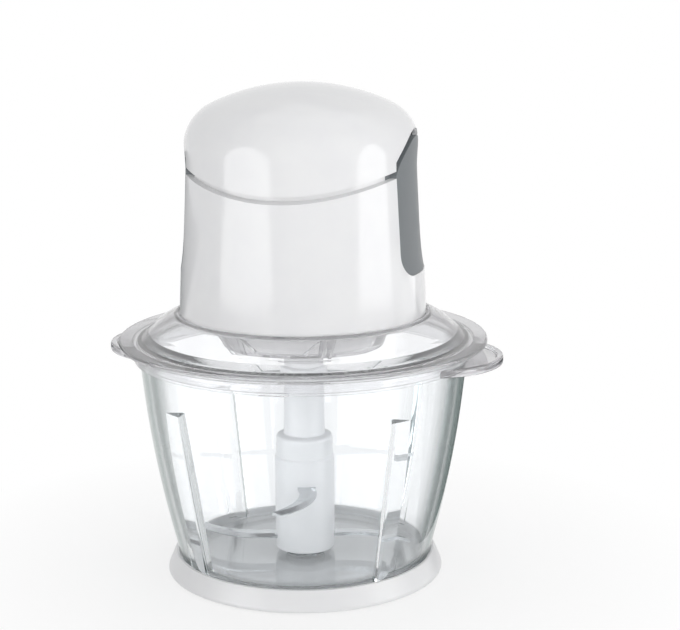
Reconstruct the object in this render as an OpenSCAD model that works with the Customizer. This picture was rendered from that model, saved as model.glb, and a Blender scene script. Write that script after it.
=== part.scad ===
// Electric mini chopper: a motor unit with a press cap drives a blade in a lidded glass bowl.
// Millimetres, +Z up, front towards -Y, origin at the middle of the base on the table.

/* [Base] */
// Radius of the base's upper rim
base_rim_r = 60.4; // [58:0.2:62]
// How far the base flares out from its rim down to the table
base_flare = 3.6; // [2.6:0.2:11.6]
// Height of the rim above the table
base_h = 10; // [9:0.5:14]
// Thickness of the rim around the bowl
base_rim_wall = 1.4; // [1.2:0.1:2]
// Thickness of the floor above the foot groove
base_floor = 1; // [0.8:0.1:2]
// Mean radius of the rubber foot ring
foot_ring_r = 50; // [40:0.5:53]
// Width of the rubber foot ring
foot_ring_w = 7; // [4:0.5:9]
// Height of the foot ring below the base
foot_proud = 0.8; // [0.5:0.1:1.5]
// Depth of the groove that holds the foot ring
foot_groove = 1.2; // [0.8:0.1:2]

/* [Bowl] */
// Height of the glass bowl
bowl_h = 103.8; // [90:0.1:120]
// Outer radius at the bowl's rim
bowl_rim_r = 75; // [72:0.5:78]
// How far the side bulges out from a straight cone
bowl_bulge = 2.5; // [0.5:0.1:4]
// Thickness of the side wall
bowl_wall = 3.6; // [2.5:0.1:5]
// Thickness of the glass floor
bowl_floor = 5; // [3.5:0.1:8]
// Radius of the outer bottom corner
bowl_corner_r = 7; // [5:0.5:9]
// Clearance between the bowl and the base's rim
bowl_gap = 0.5; // [0.3:0.1:0.8]
// Number of upright inner ribs
rib_count = 4; // [2:1:8]
// Height of a rib above the bowl's floor
rib_h = 77; // [50:1:84]
// Width of a rib at the wall
rib_w = 11.5; // [5:0.5:14]
// How far a rib stands into the bowl
rib_d = 6; // [3:0.5:8]
// Turn of the ribs from even places about the front
rib_turn = 3; // [-20:0.5:20]

/* [Pin, spindle and blades] */
// Radius of the steel pin in the bowl's floor
pin_r = 3; // [2:0.1:4]
// Free length of the pin above its boss
pin_h = 16; // [10:0.5:24]
// Running clearance of the spindle on the pin
pin_fit = 0.05; // [0.02:0.01:0.1]
// Radius of the glass boss around the pin
pin_boss_r = 9; // [6:0.5:12]
// Radius of the spindle's hub
hub_r = 13.8; // [12:0.2:18]
// Height of the hub
hub_h = 54; // [48:0.5:60]
// Radius of the spindle's upper tube
tube_r = 9.7; // [8.8:0.1:11]
// Reach of the blades from the axis
blade_reach = 50; // [40:0.5:52]
// Thickness of the blades
blade_t = 1.6; // [1:0.1:2.5]
// Width of a blade wing
blade_w = 12; // [8:0.5:15]
// Bow of a blade's cutting edge
blade_rise = 10; // [6:0.5:14]
// Height of the lower blade above the spindle's foot
lower_blade_h = 5; // [3:0.5:10]
// Distance from the lower blade up to the upper blade
blade_step = 24; // [14:0.5:32]

/* [Lid] */
// Outer radius of the lid's rim
lid_rim_r = 84; // [81:0.5:88]
// Thickness of the lid's rim
lid_rim_t = 2.6; // [2.2:0.1:5]
// Wall thickness of the clear lid
lid_wall = 1.8; // [1.4:0.1:2.4]
// Clearance between the lid's skirt and the bowl
lid_gap = 0.6; // [0.4:0.1:1]
// Depth of the skirt below the bowl's rim
skirt_drop = 5; // [2:0.1:6]
// Thickness of the seal on the bowl's rim
seal_t = 1.2; // [0.8:0.1:2]
// Outer radius of the raised step inside the rim
step_r = 73.6; // [70:0.2:74]
// Height of the raised step
step_h = 2.6; // [2:0.1:5]
// Width of the bevel between the step and the shoulder
bevel_w = 2.9; // [2:0.1:3.5]
// Height of the bevel between the step and the shoulder
bevel_h = 2.4; // [1.5:0.1:3]
// Height of the bevel and shoulder from the step to the motor unit's seat
shoulder_h = 8.6; // [8:0.1:16]
// Bulge of the shoulder
shoulder_bulge = 0.6; // [0.2:0.1:2.5]
// Height of the lip around the motor unit's foot
lip_h = 0.6; // [0.4:0.1:2.5]
// Turn of the ears and webs from the side grips
lid_turn = -4.5; // [-20:0.5:20]
// Width of the lug on the skirt
lug_w = 12.7; // [8:0.1:16]
// Reach of the ears from the axis
ear_reach = 92; // [90:0.5:98]
// Radius of an ear's outline
ear_r = 34; // [28:0.5:38]
// Thickness of the ears
ear_t = 3.4; // [2.4:0.1:4]
// Clearance between the lid's well and the motor unit's boss
well_gap = 0.5; // [0.3:0.1:0.8]
// Clearance between the lid's collar and the spindle
collar_gap = 0.4; // [0.3:0.1:0.6]
// Length of the collar that guides the spindle's top
collar_h = 9; // [6:0.5:14]

/* [Housing] */
// Outer radius at the housing's foot
house_bottom_r = 56.2; // [55:0.2:58]
// Outer radius at the seam
house_top_r = 52.9; // [52.4:0.1:55]
// Height from the foot to the seam at the sides
house_h = 66.8; // [64:0.2:72]
// Thickness of the housing's wall
house_wall = 2.4; // [1.8:0.1:2.8]
// Thickness of the neck that shows in the seam
neck_wall = 1.8; // [1.4:0.1:2]
// How far the seam dips at front and back
seam_dip = 10.4; // [7:0.2:12]
// Width of the open seam under the press cap
seam_gap = 3; // [2.9:0.1:4]

/* [Press cap] */
// Travel of the press cap
cap_travel = 2.5; // [1.5:0.1:2.5]
// Thickness of the cap's wall
cap_wall = 2.2; // [1.6:0.1:2.6]
// Height of the cap's upright side above the seam at the sides
cap_side_h = 4.8; // [3:0.2:8]
// Radius of the cap's shoulder
cap_shoulder_r = 22; // [18:0.5:26]
// Radius of the cap's crown
cap_crown_r = 95; // [85:1:140]

/* [Side grips] */
// Width of a grip
grip_w = 49.6; // [44:0.2:58]
// Depth of a grip below the seam at the sides
grip_drop = 46.4; // [38:0.2:48]
// Corner radius at the grip's foot
grip_corner_r = 10.8; // [8:0.1:20]
// Height of the cap's arch above the seam at the sides
arch_h = 17; // [15:0.2:18]
// Radius of the arch in the cap's side
arch_r = 31; // [30:0.2:42]
// Depth of the scoop in a grip
grip_depth = 1.3; // [0.8:0.1:2]
// Thickness of a grip's backing behind the housing's wall
grip_wall = 1.8; // [1.4:0.1:2]

/* [Boss and gears] */
// Upper radius of the tapered boss under the housing
boss_top_r = 39.7; // [38:0.2:41]
// Lower radius of the boss
boss_bottom_r = 34.3; // [33.6:0.1:37]
// Depth of the boss below the housing's foot
boss_depth = 11.8; // [11.5:0.1:13]
// Thickness of the boss's floor
boss_floor = 3.2; // [2.8:0.1:4]
// Gear module
gear_module = 1; // [0.9:0.05:1.05]
// Teeth on the sun pinion
sun_teeth = 12; // [12:12:12]
// Teeth on a planet gear
planet_teeth = 18; // [18:18:18]
// Play between meshing teeth
backlash = 0.3; // [0.2:0.05:0.4]
// Thickness of the ring gear outside its teeth
ring_wall = 3.5; // [2.5:0.1:4]
// Thickness of the planet carrier
carrier_t = 2.2; // [1.6:0.1:2.6]
// Radius of the planet pins
planet_pin_r = 1.6; // [1.2:0.1:2.2]
// Radius of the output shaft
output_r = 4; // [3:0.1:4.5]
// Radius of the drive coupling across its corners
coupling_r = 6.4; // [5.8:0.1:6.8]
// How deep the drive coupling reaches into the spindle
coupling_depth = 9; // [5:0.5:11]

/* [Motor] */
// Radius of the rotor shaft
shaft_r = 2.5; // [2:0.1:3]
// Running clearance in the bushes
bush_fit = 0.05; // [0.02:0.01:0.1]
// Wall of the bushes
bush_wall = 2; // [1.5:0.1:2.5]
// Radius of the rotor core
rotor_r = 15.2; // [14:0.1:15.4]
// Length of the rotor and stator cores
core_h = 24; // [18:0.5:26]
// Air gap between rotor and stator
air_gap = 0.3; // [0.3:0.05:0.5]
// Outer radius of the stator core
stator_r = 27; // [26:0.2:29]
// Depth of the field coils, in and out
coil_d = 5.6; // [4:0.2:6]
// Height of a coil's end turns
coil_end_h = 4.6; // [3:0.2:5.5]
// Radius of the commutator
commutator_r = 8; // [6.5:0.1:9]
// Length of the commutator
commutator_h = 8; // [7:0.5:9]
// Distance of the motor screws from the axis
motor_screw_x = 23.8; // [23.4:0.1:24]
// Radius of the motor screws
motor_screw_r = 1.6; // [1.2:0.1:1.8]
// Radius of the cooling fan
fan_r = 17.6; // [14:0.2:18]
// Number of fan blades
fan_blades = 9; // [6:1:12]

/* [Switch, screws and inlet] */
// Length of the switch
switch_l = 20; // [16:0.5:26]
// Width of the switch
switch_w = 10; // [8:0.5:14]
// Height of the switch
switch_h = 8.5; // [8:0.1:10]
// Radius of the switch plunger
plunger_r = 2; // [1.5:0.1:2.5]
// Mean radius of the cap springs' coils
spring_r = 4.4; // [3.6:0.1:5]
// Thickness of the spring wire
spring_wire = 1; // [0.7:0.1:1.2]
// Turns of a cap spring
spring_turns = 6; // [4:1:8]
// Distance of the cap springs from the axis
spring_x = 26; // [20:0.5:28]
// Radius of the housing screws
screw_r = 1.5; // [1.2:0.1:2]
// Distance of the housing screws from the axis
screw_at_r = 47; // [45:0.2:47.4]
// Radius of the bore in the cord inlet
inlet_r = 3.5; // [2.5:0.1:4]
// Height of the cord inlet above the housing's foot
inlet_h = 11; // [10:0.5:16]

/* [Hidden] */
$fn = 96;
// Small clearances between pieces that stay together, and between pieces that move
fit_gap = 0.2;
run_gap = 0.3;
// Gap under the bowl where it stands in the base
rest_gap = 0.1;
// Overlap for clean cuts and joins
lap = 0.5;
// Large enough to cut through the whole object
far = 300;

// Heights, from the table up
base_z = foot_proud;
bowl_z = foot_proud + foot_groove + base_floor;
bowl_top = bowl_z + bowl_h;
floor_z = bowl_z + bowl_floor;
pin_boss_h = 2;
pin_seat_z = floor_z + pin_boss_h;
spindle_z = pin_seat_z + run_gap;
hub_top = spindle_z + hub_h;
seat_z = bowl_top + seal_t;
rim_z = seat_z + 0.4;
rim_top = rim_z + lid_rim_t;
step_top = rim_top + step_h;
house_z = step_top + shoulder_h;
boss_z = house_z - boss_depth;
well_z = boss_z - 0.7;
collar_z = well_z - collar_h;
spindle_top = well_z - 2;
seam_z = house_z + house_h;

// Base
base_bottom_r = base_rim_r + base_flare;
pocket_r = base_rim_r - base_rim_wall;
base_edge = 1.2;

// Bowl outline: a corner arc, then a bulged wall from low_pt to top_pt
lean = atan2(bowl_rim_r - pocket_r + 4 * bowl_bulge, bowl_h - bowl_corner_r);
low_z = bowl_z + bowl_corner_r * (1 - sin(lean));
seat_r = pocket_r - bowl_gap - max(0, base_h - low_z) * tan(lean);
low_pt = [seat_r, low_z];
top_pt = [bowl_rim_r, bowl_top];
wall_run = top_pt - low_pt;
wall_out = [wall_run[1], -wall_run[0]] / norm(wall_run);
wall_steps = 14;
function wall_pt(t) = low_pt + wall_run * t + wall_out * 4 * bowl_bulge * t * (1 - t);
function arc(c, r, a0, a1, n) =
    [for (i = [0:n]) let (a = a0 + (a1 - a0) * i / n) [c[0] + r * cos(a), c[1] + r * sin(a)]];
function bend(p, q, s, n) =
    [for (i = [0:n]) let (t = i / n) p * (1 - t) * (1 - t) + q * 2 * t * (1 - t) + s * t * t];

// Lid radii
plug_r = bowl_rim_r - bowl_wall - lid_gap;
skirt_in_r = bowl_rim_r + lid_gap;
skirt_r = skirt_in_r + lid_wall;
skirt_z = bowl_top - skirt_drop;
lip_r = house_bottom_r + lid_gap;
collar_r = tube_r + collar_gap;
step_lean = 2.2;
crease = [step_r - step_lean - bevel_w, step_top + bevel_h];
dome_in_r = step_r - step_lean - lid_wall - 0.8;
function boss_r(z) = boss_bottom_r + (boss_top_r - boss_bottom_r) * (z - boss_z) / boss_depth;

// Housing and cap outlines
function house_r(z) = house_bottom_r + (house_top_r - house_bottom_r) * (z - house_z) / house_h;
seam_r = (house_top_r * house_top_r + seam_dip * seam_dip) / (2 * seam_dip);
seam_axis_z = seam_z - seam_r;
cap_z = seam_z + seam_gap;
cap_bend_z = cap_z + cap_side_h;
cap_bend_r = house_top_r - cap_shoulder_r;
crown_z = cap_bend_z - sqrt(pow(cap_crown_r - cap_shoulder_r, 2) - cap_bend_r * cap_bend_r);
crown_a = atan2(cap_bend_z - crown_z, cap_bend_r);
cap_top = crown_z + cap_crown_r;
function cap_r(z) = z < cap_bend_z ? house_top_r
    : cap_bend_r + sqrt(max(0, cap_shoulder_r * cap_shoulder_r - pow(z - cap_bend_z, 2)));
function shell_r(z) = z < seam_z ? house_r(z) : cap_r(z);

// Side grips
grip_z = seam_z - grip_drop;
arch_z = seam_z + arch_h - arch_r;
grip_cut_x = 38;
arch_gap = seam_gap + fit_gap;
pad_flat_r = 68;
pad_edge = 0.3;
pad_top = seam_z + arch_h - arch_gap;
pad_mid_z = (grip_z + pad_top) / 2;
pad_half = (pad_top - grip_z) / 2;
pad_steps = 14;
ear_lap = 2.4;
neck_r = house_top_r - cap_wall - 0.4;
neck_up = 6;
ledge_t = 3;

// Boss and gears
ring_teeth = sun_teeth + 2 * planet_teeth;
planet_count = 3;
orbit_r = gear_module * (sun_teeth + planet_teeth) / 2;
ring_gear_r = gear_module * (ring_teeth / 2 + 1.25) + ring_wall;
gear_floor_z = boss_z + boss_floor;
ring_gear_h = house_z - gear_floor_z - 0.6;
carrier_z = gear_floor_z + run_gap;
carrier_top = carrier_z + carrier_t;
planet_z = carrier_top + run_gap;
planet_h = gear_floor_z + ring_gear_h - planet_z - 0.4;
seal_depth = 1.2;
coupling_top = boss_z - run_gap;
coupling_z = spindle_top - coupling_depth;
hex_gap = 0.25;

// Motor
cover_t = 2.4;
plate_z = house_z + cover_t;
plate_t = 2.5;
bracket_r = 33;
bush_h = 4.7;
fan_z = plate_z + bush_h + run_gap + 0.2;
fan_h = 4.4;
coil_z = fan_z + fan_h + 0.7;
core_z = coil_z + coil_end_h;
core_top = core_z + core_h;
stator_bore = rotor_r + air_gap;
coil_in_r = stator_bore + 1.5;
coil_span = 100;
pole_span = 60;
winding_h = coil_end_h - 0.6;
commutator_z = core_top + winding_h + 1.2;
commutator_top = commutator_z + commutator_h;
bridge_z = commutator_top + 1;
shaft_z = planet_z;
shaft_top = bridge_z + bush_h - 0.3;
leg_r = 4.2;
screw_head_h = 2.4;

// Switch deck and springs
deck_t = 2;
deck_z = seam_z - 4.7;
deck_top = deck_z + deck_t;
deck_r = neck_r - neck_wall - 0.5;
plunger_free = cap_travel + run_gap;
plunger_top = deck_top + switch_h + plunger_free;
plunger_l = 5;
spring_low = deck_top;
spring_high = deck_top + 17.5;
spring_post_r = spring_r + spring_wire / 2 + 2;
leg_y = 36;
hook_y = 2.2;

// Screws and inlet
screw_angles = [30, 150, 270];
screw_boss_r = 3.8;
screw_boss_h = 13;
screw_l = 12;
inlet_wall = 2.6;
inlet_flange = 2.4;
inlet_flange_t = 2;
inlet_z = house_z + inlet_h;
inlet_y = house_r(inlet_z) + fit_gap;

// Shared shapes

// A ring or tube about the axis, from height z
module tube(r_out, r_in, z, h) {
    translate([0, 0, z])
        difference() {
            cylinder(r = r_out, h = h);
            translate([0, 0, -lap]) cylinder(r = r_in, h = h + 2 * lap);
        }
}

// A flat outline in Y and Z, carried along X from x0 to x1
module along_x(x0, x1) {
    translate([x0, 0, 0])
        rotate([90, 0, 90])
            linear_extrude(x1 - x0) children();
}

// Both sides of the object
module both_sides() {
    children();
    mirror([1, 0, 0]) children();
}

// Everything below the seam, raised by the given height
module below_seam(up) {
    translate([0, 0, seam_axis_z + up])
        rotate([0, 90, 0])
            cylinder(r = seam_r, h = far, center = true, $fn = 360);
}

// Outline of a side grip: an arch on top, rounded corners below
module grip_outline(inset, arch_inset) {
    half = grip_w / 2 - inset;
    corner = grip_corner_r - inset;
    low = grip_z + inset;
    intersection() {
        union() {
            translate([-half, low + corner]) square([2 * half, far]);
            translate([corner - half, low]) square([2 * (half - corner), far]);
            for (side = [-1, 1])
                translate([side * (half - corner), low + corner]) circle(r = corner);
        }
        union() {
            translate([-far / 2, arch_z - far]) square([far, far]);
            translate([0, arch_z]) circle(r = arch_r - arch_inset, $fn = 180);
        }
    }
}

// Half outline of the press cap, set in from its outer face
function cap_outline(inset, low) = concat(
    [[0, low], [house_top_r - inset, low]],
    arc([cap_bend_r, cap_bend_z], cap_shoulder_r - inset, 0, crown_a, 10),
    arc([0, crown_z], cap_crown_r - inset, crown_a + 2, 90, 8));

// Involute gear outline with n teeth; thin takes play off each tooth
function flank(base_r, r) = let (t = sqrt(max(0, pow(r / base_r, 2) - 1))) t * 180 / PI - atan(t);
function gear_points(n, add, ded, thin) = let (
        pitch_r = gear_module * n / 2,
        base_r = pitch_r * cos(20),
        root_r = pitch_r - gear_module * ded,
        tip_r = pitch_r + gear_module * add,
        start_r = max(base_r, root_r),
        half = 90 / n + flank(base_r, pitch_r) - thin / pitch_r * 90 / PI,
        steps = 3)
    [for (i = [0:n - 1]) let (mid = 360 * i / n) each concat(
        [root_r * [cos(mid - half), sin(mid - half)]],
        [for (k = [0:steps]) let (
            r = start_r + (tip_r - start_r) * k / steps,
            a = mid - half + flank(base_r, r)) r * [cos(a), sin(a)]],
        [for (k = [steps:-1:0]) let (
            r = start_r + (tip_r - start_r) * k / steps,
            a = mid + half - flank(base_r, r)) r * [cos(a), sin(a)]],
        [root_r * [cos(mid + half), sin(mid + half)]])];

// Base and bowl

module base_ring() {
    color("white")
        difference() {
            rotate_extrude($fn = 180)
                polygon(concat(
                    [[0, base_z], [base_bottom_r - base_edge, base_z]],
                    arc([base_bottom_r - base_edge, base_z + base_edge], base_edge, -60, 10, 4),
                    [[base_rim_r, base_h - 0.6], [base_rim_r - 0.5, base_h], [pocket_r + 0.3, base_h],
                     [pocket_r, base_h - 0.4], [pocket_r, bowl_z - rest_gap],
                     [0, bowl_z - rest_gap]]));
            tube(foot_ring_r + foot_ring_w / 2, foot_ring_r - foot_ring_w / 2,
                base_z - lap, foot_groove + lap);
        }
}

module foot_ring() {
    color("dimgray")
        tube(foot_ring_r + foot_ring_w / 2 - fit_gap, foot_ring_r - foot_ring_w / 2 + fit_gap,
            0, foot_proud + foot_groove);
}

function bowl_outside() = concat(
    arc(low_pt - bowl_corner_r * [cos(lean), -sin(lean)], bowl_corner_r, -90, -lean, 8),
    [for (i = [1:wall_steps]) wall_pt(i / wall_steps)]);
fillet_t = 0.07;
function bowl_inside() = let (
        high = wall_pt(fillet_t) - [bowl_wall, 0],
        low = [high[0] - bowl_corner_r, floor_z])
    concat(
        [for (i = [wall_steps:-1:1]) wall_pt(i / wall_steps) - [bowl_wall, 0]],
        bend(high, [high[0] - 1, floor_z], low, 6));

// One upright rib of triangular section, leaning with the wall
module bowl_rib() {
    tilt = atan2(wall_run[0], wall_run[1]);
    mid = wall_pt(0.5) - [bowl_wall, 0];
    translate([mid[0], 0, mid[1]])
        rotate([0, tilt, 0])
            linear_extrude(bowl_h, center = true)
                polygon([[1.8, -rib_w / 2], [1.8, rib_w / 2], [0, rib_w / 2], [-rib_d, 0.8],
                         [-rib_d, -0.8], [0, -rib_w / 2]]);
}

module bowl() {
    color("lightblue", 0.4)
        difference() {
            union() {
                rotate_extrude($fn = 180)
                    polygon(concat([[0, bowl_z]], bowl_outside(), bowl_inside(), [[0, floor_z]]));
                intersection() {
                    for (i = [0:rib_count - 1])
                        rotate([0, 0, 360 * (i + 0.5) / rib_count + rib_turn]) bowl_rib();
                    translate([0, 0, floor_z - lap])
                        cylinder(r = bowl_rim_r, h = rib_h + lap);
                    rotate_extrude($fn = 180)
                        polygon(concat([[0, bowl_z]], [for (p = bowl_outside()) p - [bowl_wall / 2, 0]],
                                       [[0, bowl_top]]));
                }
                translate([0, 0, floor_z - lap])
                    cylinder(r = pin_boss_r, h = pin_boss_h + lap);
            }
            translate([0, 0, bowl_z + bowl_floor / 2]) cylinder(r = pin_r, h = far);
        }
}

module bowl_pin() {
    color("silver")
        translate([0, 0, bowl_z + bowl_floor / 2]) {
            length = pin_seat_z + pin_h - bowl_z - bowl_floor / 2;
            cylinder(r = pin_r, h = length - 1);
            translate([0, 0, length - 1]) cylinder(r1 = pin_r, r2 = pin_r - 1, h = 1);
        }
}

// Spindle and blades

edge_r = (blade_reach * blade_reach / 4 + blade_rise * blade_rise) / (2 * blade_rise);
edge_c = [blade_reach / 2, blade_rise - edge_r];
back_c = edge_c + [4, -blade_w / 2];

// Plan of the two curved wings on their centre ring
module blade_plan() {
    difference() {
        union() {
            circle(r = hub_r - 3);
            for (turn = [0, 180]) rotate([0, 0, turn]) blade_wing();
        }
        circle(r = pin_r + 2);
    }
}

// Plan of one wing, between a bowed cutting edge and a hollow back
module blade_wing() {
    intersection() {
        difference() {
            translate(edge_c) circle(r = edge_r, $fn = 240);
            translate(back_c) circle(r = edge_r - 1, $fn = 240);
        }
        circle(r = blade_reach, $fn = 240);
        translate([0, -blade_reach]) square([blade_reach, 2 * blade_reach]);
    }
}

// A blade with its outer edges ground to a bevel
module blade(z) {
    bevel = 2.6;
    difference() {
        translate([0, 0, z]) linear_extrude(blade_t) blade_plan();
        for (turn = [0, 180])
            rotate([0, 0, turn])
                difference() {
                    translate([edge_c[0], edge_c[1], z])
                        rotate_extrude($fn = 240)
                            polygon([[edge_r - bevel, blade_t + lap], [edge_r - bevel, blade_t],
                                     [edge_r + lap, 0.2], [edge_r + lap, blade_t + lap]]);
                    translate([0, 0, z - lap]) cylinder(r = hub_r + 1, h = blade_t + 2 * lap);
                    translate([-far, -far / 2, z - lap]) cube([far, far, blade_t + 2 * lap]);
                }
    }
}
lower_blade_z = spindle_z + lower_blade_h;
upper_blade_z = lower_blade_z + blade_t + blade_step;

module lower_blade() {
    color("silver") blade(lower_blade_z);
}

module upper_blade() {
    color("silver") rotate([0, 0, 90]) blade(upper_blade_z);
}

module blade_spindle() {
    ring_r = hub_r - 3;
    color("whitesmoke")
        difference() {
            rotate_extrude()
                polygon([[0, spindle_z], [hub_r - 1, spindle_z], [hub_r, spindle_z + 1],
                         [hub_r, hub_top - 1.5], [hub_r - 1.2, hub_top], [tube_r, hub_top + 0.6],
                         [tube_r, spindle_top - 0.8], [tube_r - 0.8, spindle_top], [0, spindle_top]]);
            translate([0, 0, spindle_z - lap])
                cylinder(r = pin_r + pin_fit, h = pin_h - run_gap + 1 + lap);
            translate([0, 0, coupling_z - 1])
                cylinder(r = coupling_r + hex_gap, h = far, $fn = 6);
            translate([0, 0, lower_blade_z]) linear_extrude(blade_t) blade_plan();
            rotate([0, 0, 90])
                translate([0, 0, upper_blade_z]) linear_extrude(blade_t) blade_plan();
        }
}

// Lid

function shoulder_out() = let (
        high = [lip_r + lid_wall, house_z - 0.4],
        out = [high[1] - crease[1], crease[0] - high[0]] / norm(high - crease))
    bend(crease, (crease + high) / 2 + out * 2 * shoulder_bulge, high, 8);
function shoulder_in() = [for (p = shoulder_out()) p - lid_wall * [0.5, 0.86]];

// Section of the broad rim and the channel that sits on the bowl
module rim_section() {
    inner = min(plug_r - lid_wall, dome_in_r);
    polygon(concat(
        [[inner, seat_z], [skirt_r, seat_z], [skirt_r + 0.6, rim_z]],
        arc([lid_rim_r - lid_rim_t / 2, rim_z + lid_rim_t / 2], lid_rim_t / 2, -80, 80, 6),
        [[inner, rim_top]]));
    polygon([[skirt_in_r, skirt_z], [skirt_r - 0.4, skirt_z], [skirt_r, skirt_z + 0.6],
             [skirt_r, seat_z + 0.2], [skirt_in_r, seat_z + 0.2]]);
    polygon([[plug_r - lid_wall, skirt_z], [plug_r, skirt_z], [plug_r, seat_z + 0.2],
             [plug_r - lid_wall, seat_z + 0.2]]);
}

// Section of the step, bevel and shoulder, the seat of the motor unit and the centre well
module dome_section() {
    top_in = shoulder_in();
    polygon(concat(
        [[step_r, rim_z + 0.2], [step_r, rim_top], [step_r - step_lean, step_top]],
        shoulder_out(),
        [[lip_r + lid_wall * 0.7, house_z + lip_h], [lip_r, house_z + lip_h], [lip_r, house_z],
         [boss_r(house_z) + well_gap + 1, house_z],
         [boss_r(house_z - 1.2) + well_gap, house_z - 1.2],
         [boss_r(boss_z) + well_gap, well_z], [collar_r, well_z], [collar_r, collar_z],
         [collar_r + lid_wall, collar_z], [collar_r + lid_wall, well_z - lid_wall],
         [boss_r(boss_z) + well_gap + lid_wall, well_z - lid_wall],
         [boss_r(house_z - 2) + well_gap + lid_wall, house_z - lid_wall],
         [top_in[8][0] - 0.6, house_z - lid_wall]],
        [for (i = [7:-1:0]) top_in[i]],
        [[step_r - step_lean - lid_wall, step_top - 0.6], [dome_in_r, rim_z + 0.2]]));
}

module lid_body() {
    rotate_extrude($fn = 180) {
        rim_section();
        dome_section();
    }
}

// A side ear: a rounded tab around the skirt with a shallow dished top
module lid_ear() {
    ear_x = ear_reach - ear_r;
    lip = 2.6;
    translate([0, 0, skirt_z])
        difference() {
            linear_extrude(ear_t)
                difference() {
                    translate([ear_x, 0]) circle(r = ear_r, $fn = 180);
                    circle(r = skirt_r - lid_wall / 2, $fn = 180);
                }
            translate([ear_x, 0, ear_t - 1.2]) cylinder(r = ear_r - lip, h = ear_t);
        }
}

// A thin upright web between the well and the seat above, with a slanted outer edge
module lid_web() {
    web_t = 1.2;
    low = well_z - lid_wall;
    high = house_z - lid_wall + lap;
    near = boss_r(low + lid_wall) + well_gap + lid_wall - lap;
    rotate([90, 0, 0])
        linear_extrude(web_t, center = true)
            polygon([[near, low], [near + 5, low], [lip_r - 4.6, high],
                     [boss_r(high) + well_gap + 1, high]]);
}

// A slanted brace on the well's wall, from the top of a web down towards the middle of its pair
module lid_brace(side) {
    brace_r = 0.9;
    swing = 13;
    low_r = boss_r(boss_z) + well_gap + lid_wall + 1.4;
    head = [boss_r(house_z - 4) + well_gap + lid_wall + 0.6, 0, house_z - 4];
    foot = [low_r * cos(swing), side * low_r * sin(swing), boss_z];
    run = foot - head;
    translate(head)
        rotate([0, acos(run[2] / norm(run)), atan2(run[1], run[0])])
            cylinder(r = brace_r, h = norm(run), $fn = 24);
}

// A short lug on the skirt's lower edge
module lid_lug() {
    proud = 0.9;
    lug_h = 1.5;
    lug_a = 277;
    intersection() {
        tube(skirt_r + proud, skirt_r - lid_wall / 2, skirt_z, lug_h);
        rotate([0, 0, lug_a])
            translate([skirt_in_r - 2 * lid_wall, -lug_w / 2, skirt_z - lap])
                cube([far, lug_w, lug_h + 2 * lap]);
    }
}

module lid() {
    web_pairs = [90, 270];
    web_swing = 30;
    web_pitch = 3.6;
    color("aliceblue", 0.4)
        union() {
            lid_body();
            rotate([0, 0, lid_turn]) {
                both_sides() lid_ear();
                lid_lug();
                for (a = web_pairs, side = [-1, 1])
                    rotate([0, 0, a + side * web_swing]) {
                        for (way = [-1, 1]) translate([0, way * web_pitch / 2, 0]) lid_web();
                        lid_brace(-side);
                    }
            }
        }
}

module lid_seal() {
    color("lightgray")
        tube(skirt_in_r - fit_gap, plug_r + fit_gap, bowl_top, seal_t);
}

// Motor unit shells

module housing_shell() {
    foot = 1.6;
    high = seam_z + 1;
    rotate_extrude($fn = 180)
        polygon([[house_r(house_z) - house_wall, house_z], [house_r(house_z) - foot, house_z],
                 [house_r(house_z) - 0.5, house_z + 0.5], [house_r(house_z + foot), house_z + foot],
                 [house_r(high), high], [house_r(high) - house_wall, high]]);
}

module screw_boss() {
    low = plate_z;
    wall_in = house_r(low + screw_boss_h) - house_wall;
    translate([screw_at_r, 0, low]) cylinder(r = screw_boss_r, h = screw_boss_h);
    translate([screw_at_r, -1.5, low]) cube([wall_in + 1 - screw_at_r, 3, screw_boss_h]);
}

// The wall below the seam, open where the grips sit
module housing_wall() {
    difference() {
        intersection() {
            housing_shell();
            below_seam(0);
        }
        both_sides() along_x(grip_cut_x, far) grip_outline(0, 0);
    }
}

// The neck inside the seam on its ledge, with a lip for the switch deck, open where the grips pass
module housing_neck() {
    low = seam_z - seam_dip - ledge_t - 1;
    lip_w = 2.6;
    lip_t = 2;
    open = ear_lap + fit_gap;
    difference() {
        union() {
            difference() {
                intersection() {
                    tube(neck_r, neck_r - neck_wall, low, far);
                    below_seam(neck_up);
                }
                below_seam(-ledge_t);
            }
            difference() {
                intersection() {
                    tube(house_top_r - house_wall / 2, neck_r - neck_wall, low, far);
                    below_seam(0);
                }
                below_seam(-ledge_t);
            }
            tube(neck_r - neck_wall / 2, deck_r - lip_w, deck_z - lip_t, lip_t);
        }
        both_sides() along_x(grip_cut_x, far) grip_outline(-open, -open);
    }
}

module housing() {
    color("white")
        difference() {
            union() {
                housing_wall();
                housing_neck();
                for (a = screw_angles) rotate([0, 0, a]) screw_boss();
            }
            for (a = screw_angles)
                rotate([0, 0, a])
                    translate([screw_at_r, 0, plate_z - lap]) cylinder(r = screw_r, h = screw_l);
            translate([0, 0, inlet_z])
                rotate([-90, 0, 0]) cylinder(r = inlet_r + inlet_wall + fit_gap, h = far);
            translate([0, inlet_y - fit_gap, inlet_z])
                rotate([-90, 0, 0]) cylinder(r = inlet_r + inlet_wall + inlet_flange + fit_gap, h = far);
        }
}

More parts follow.
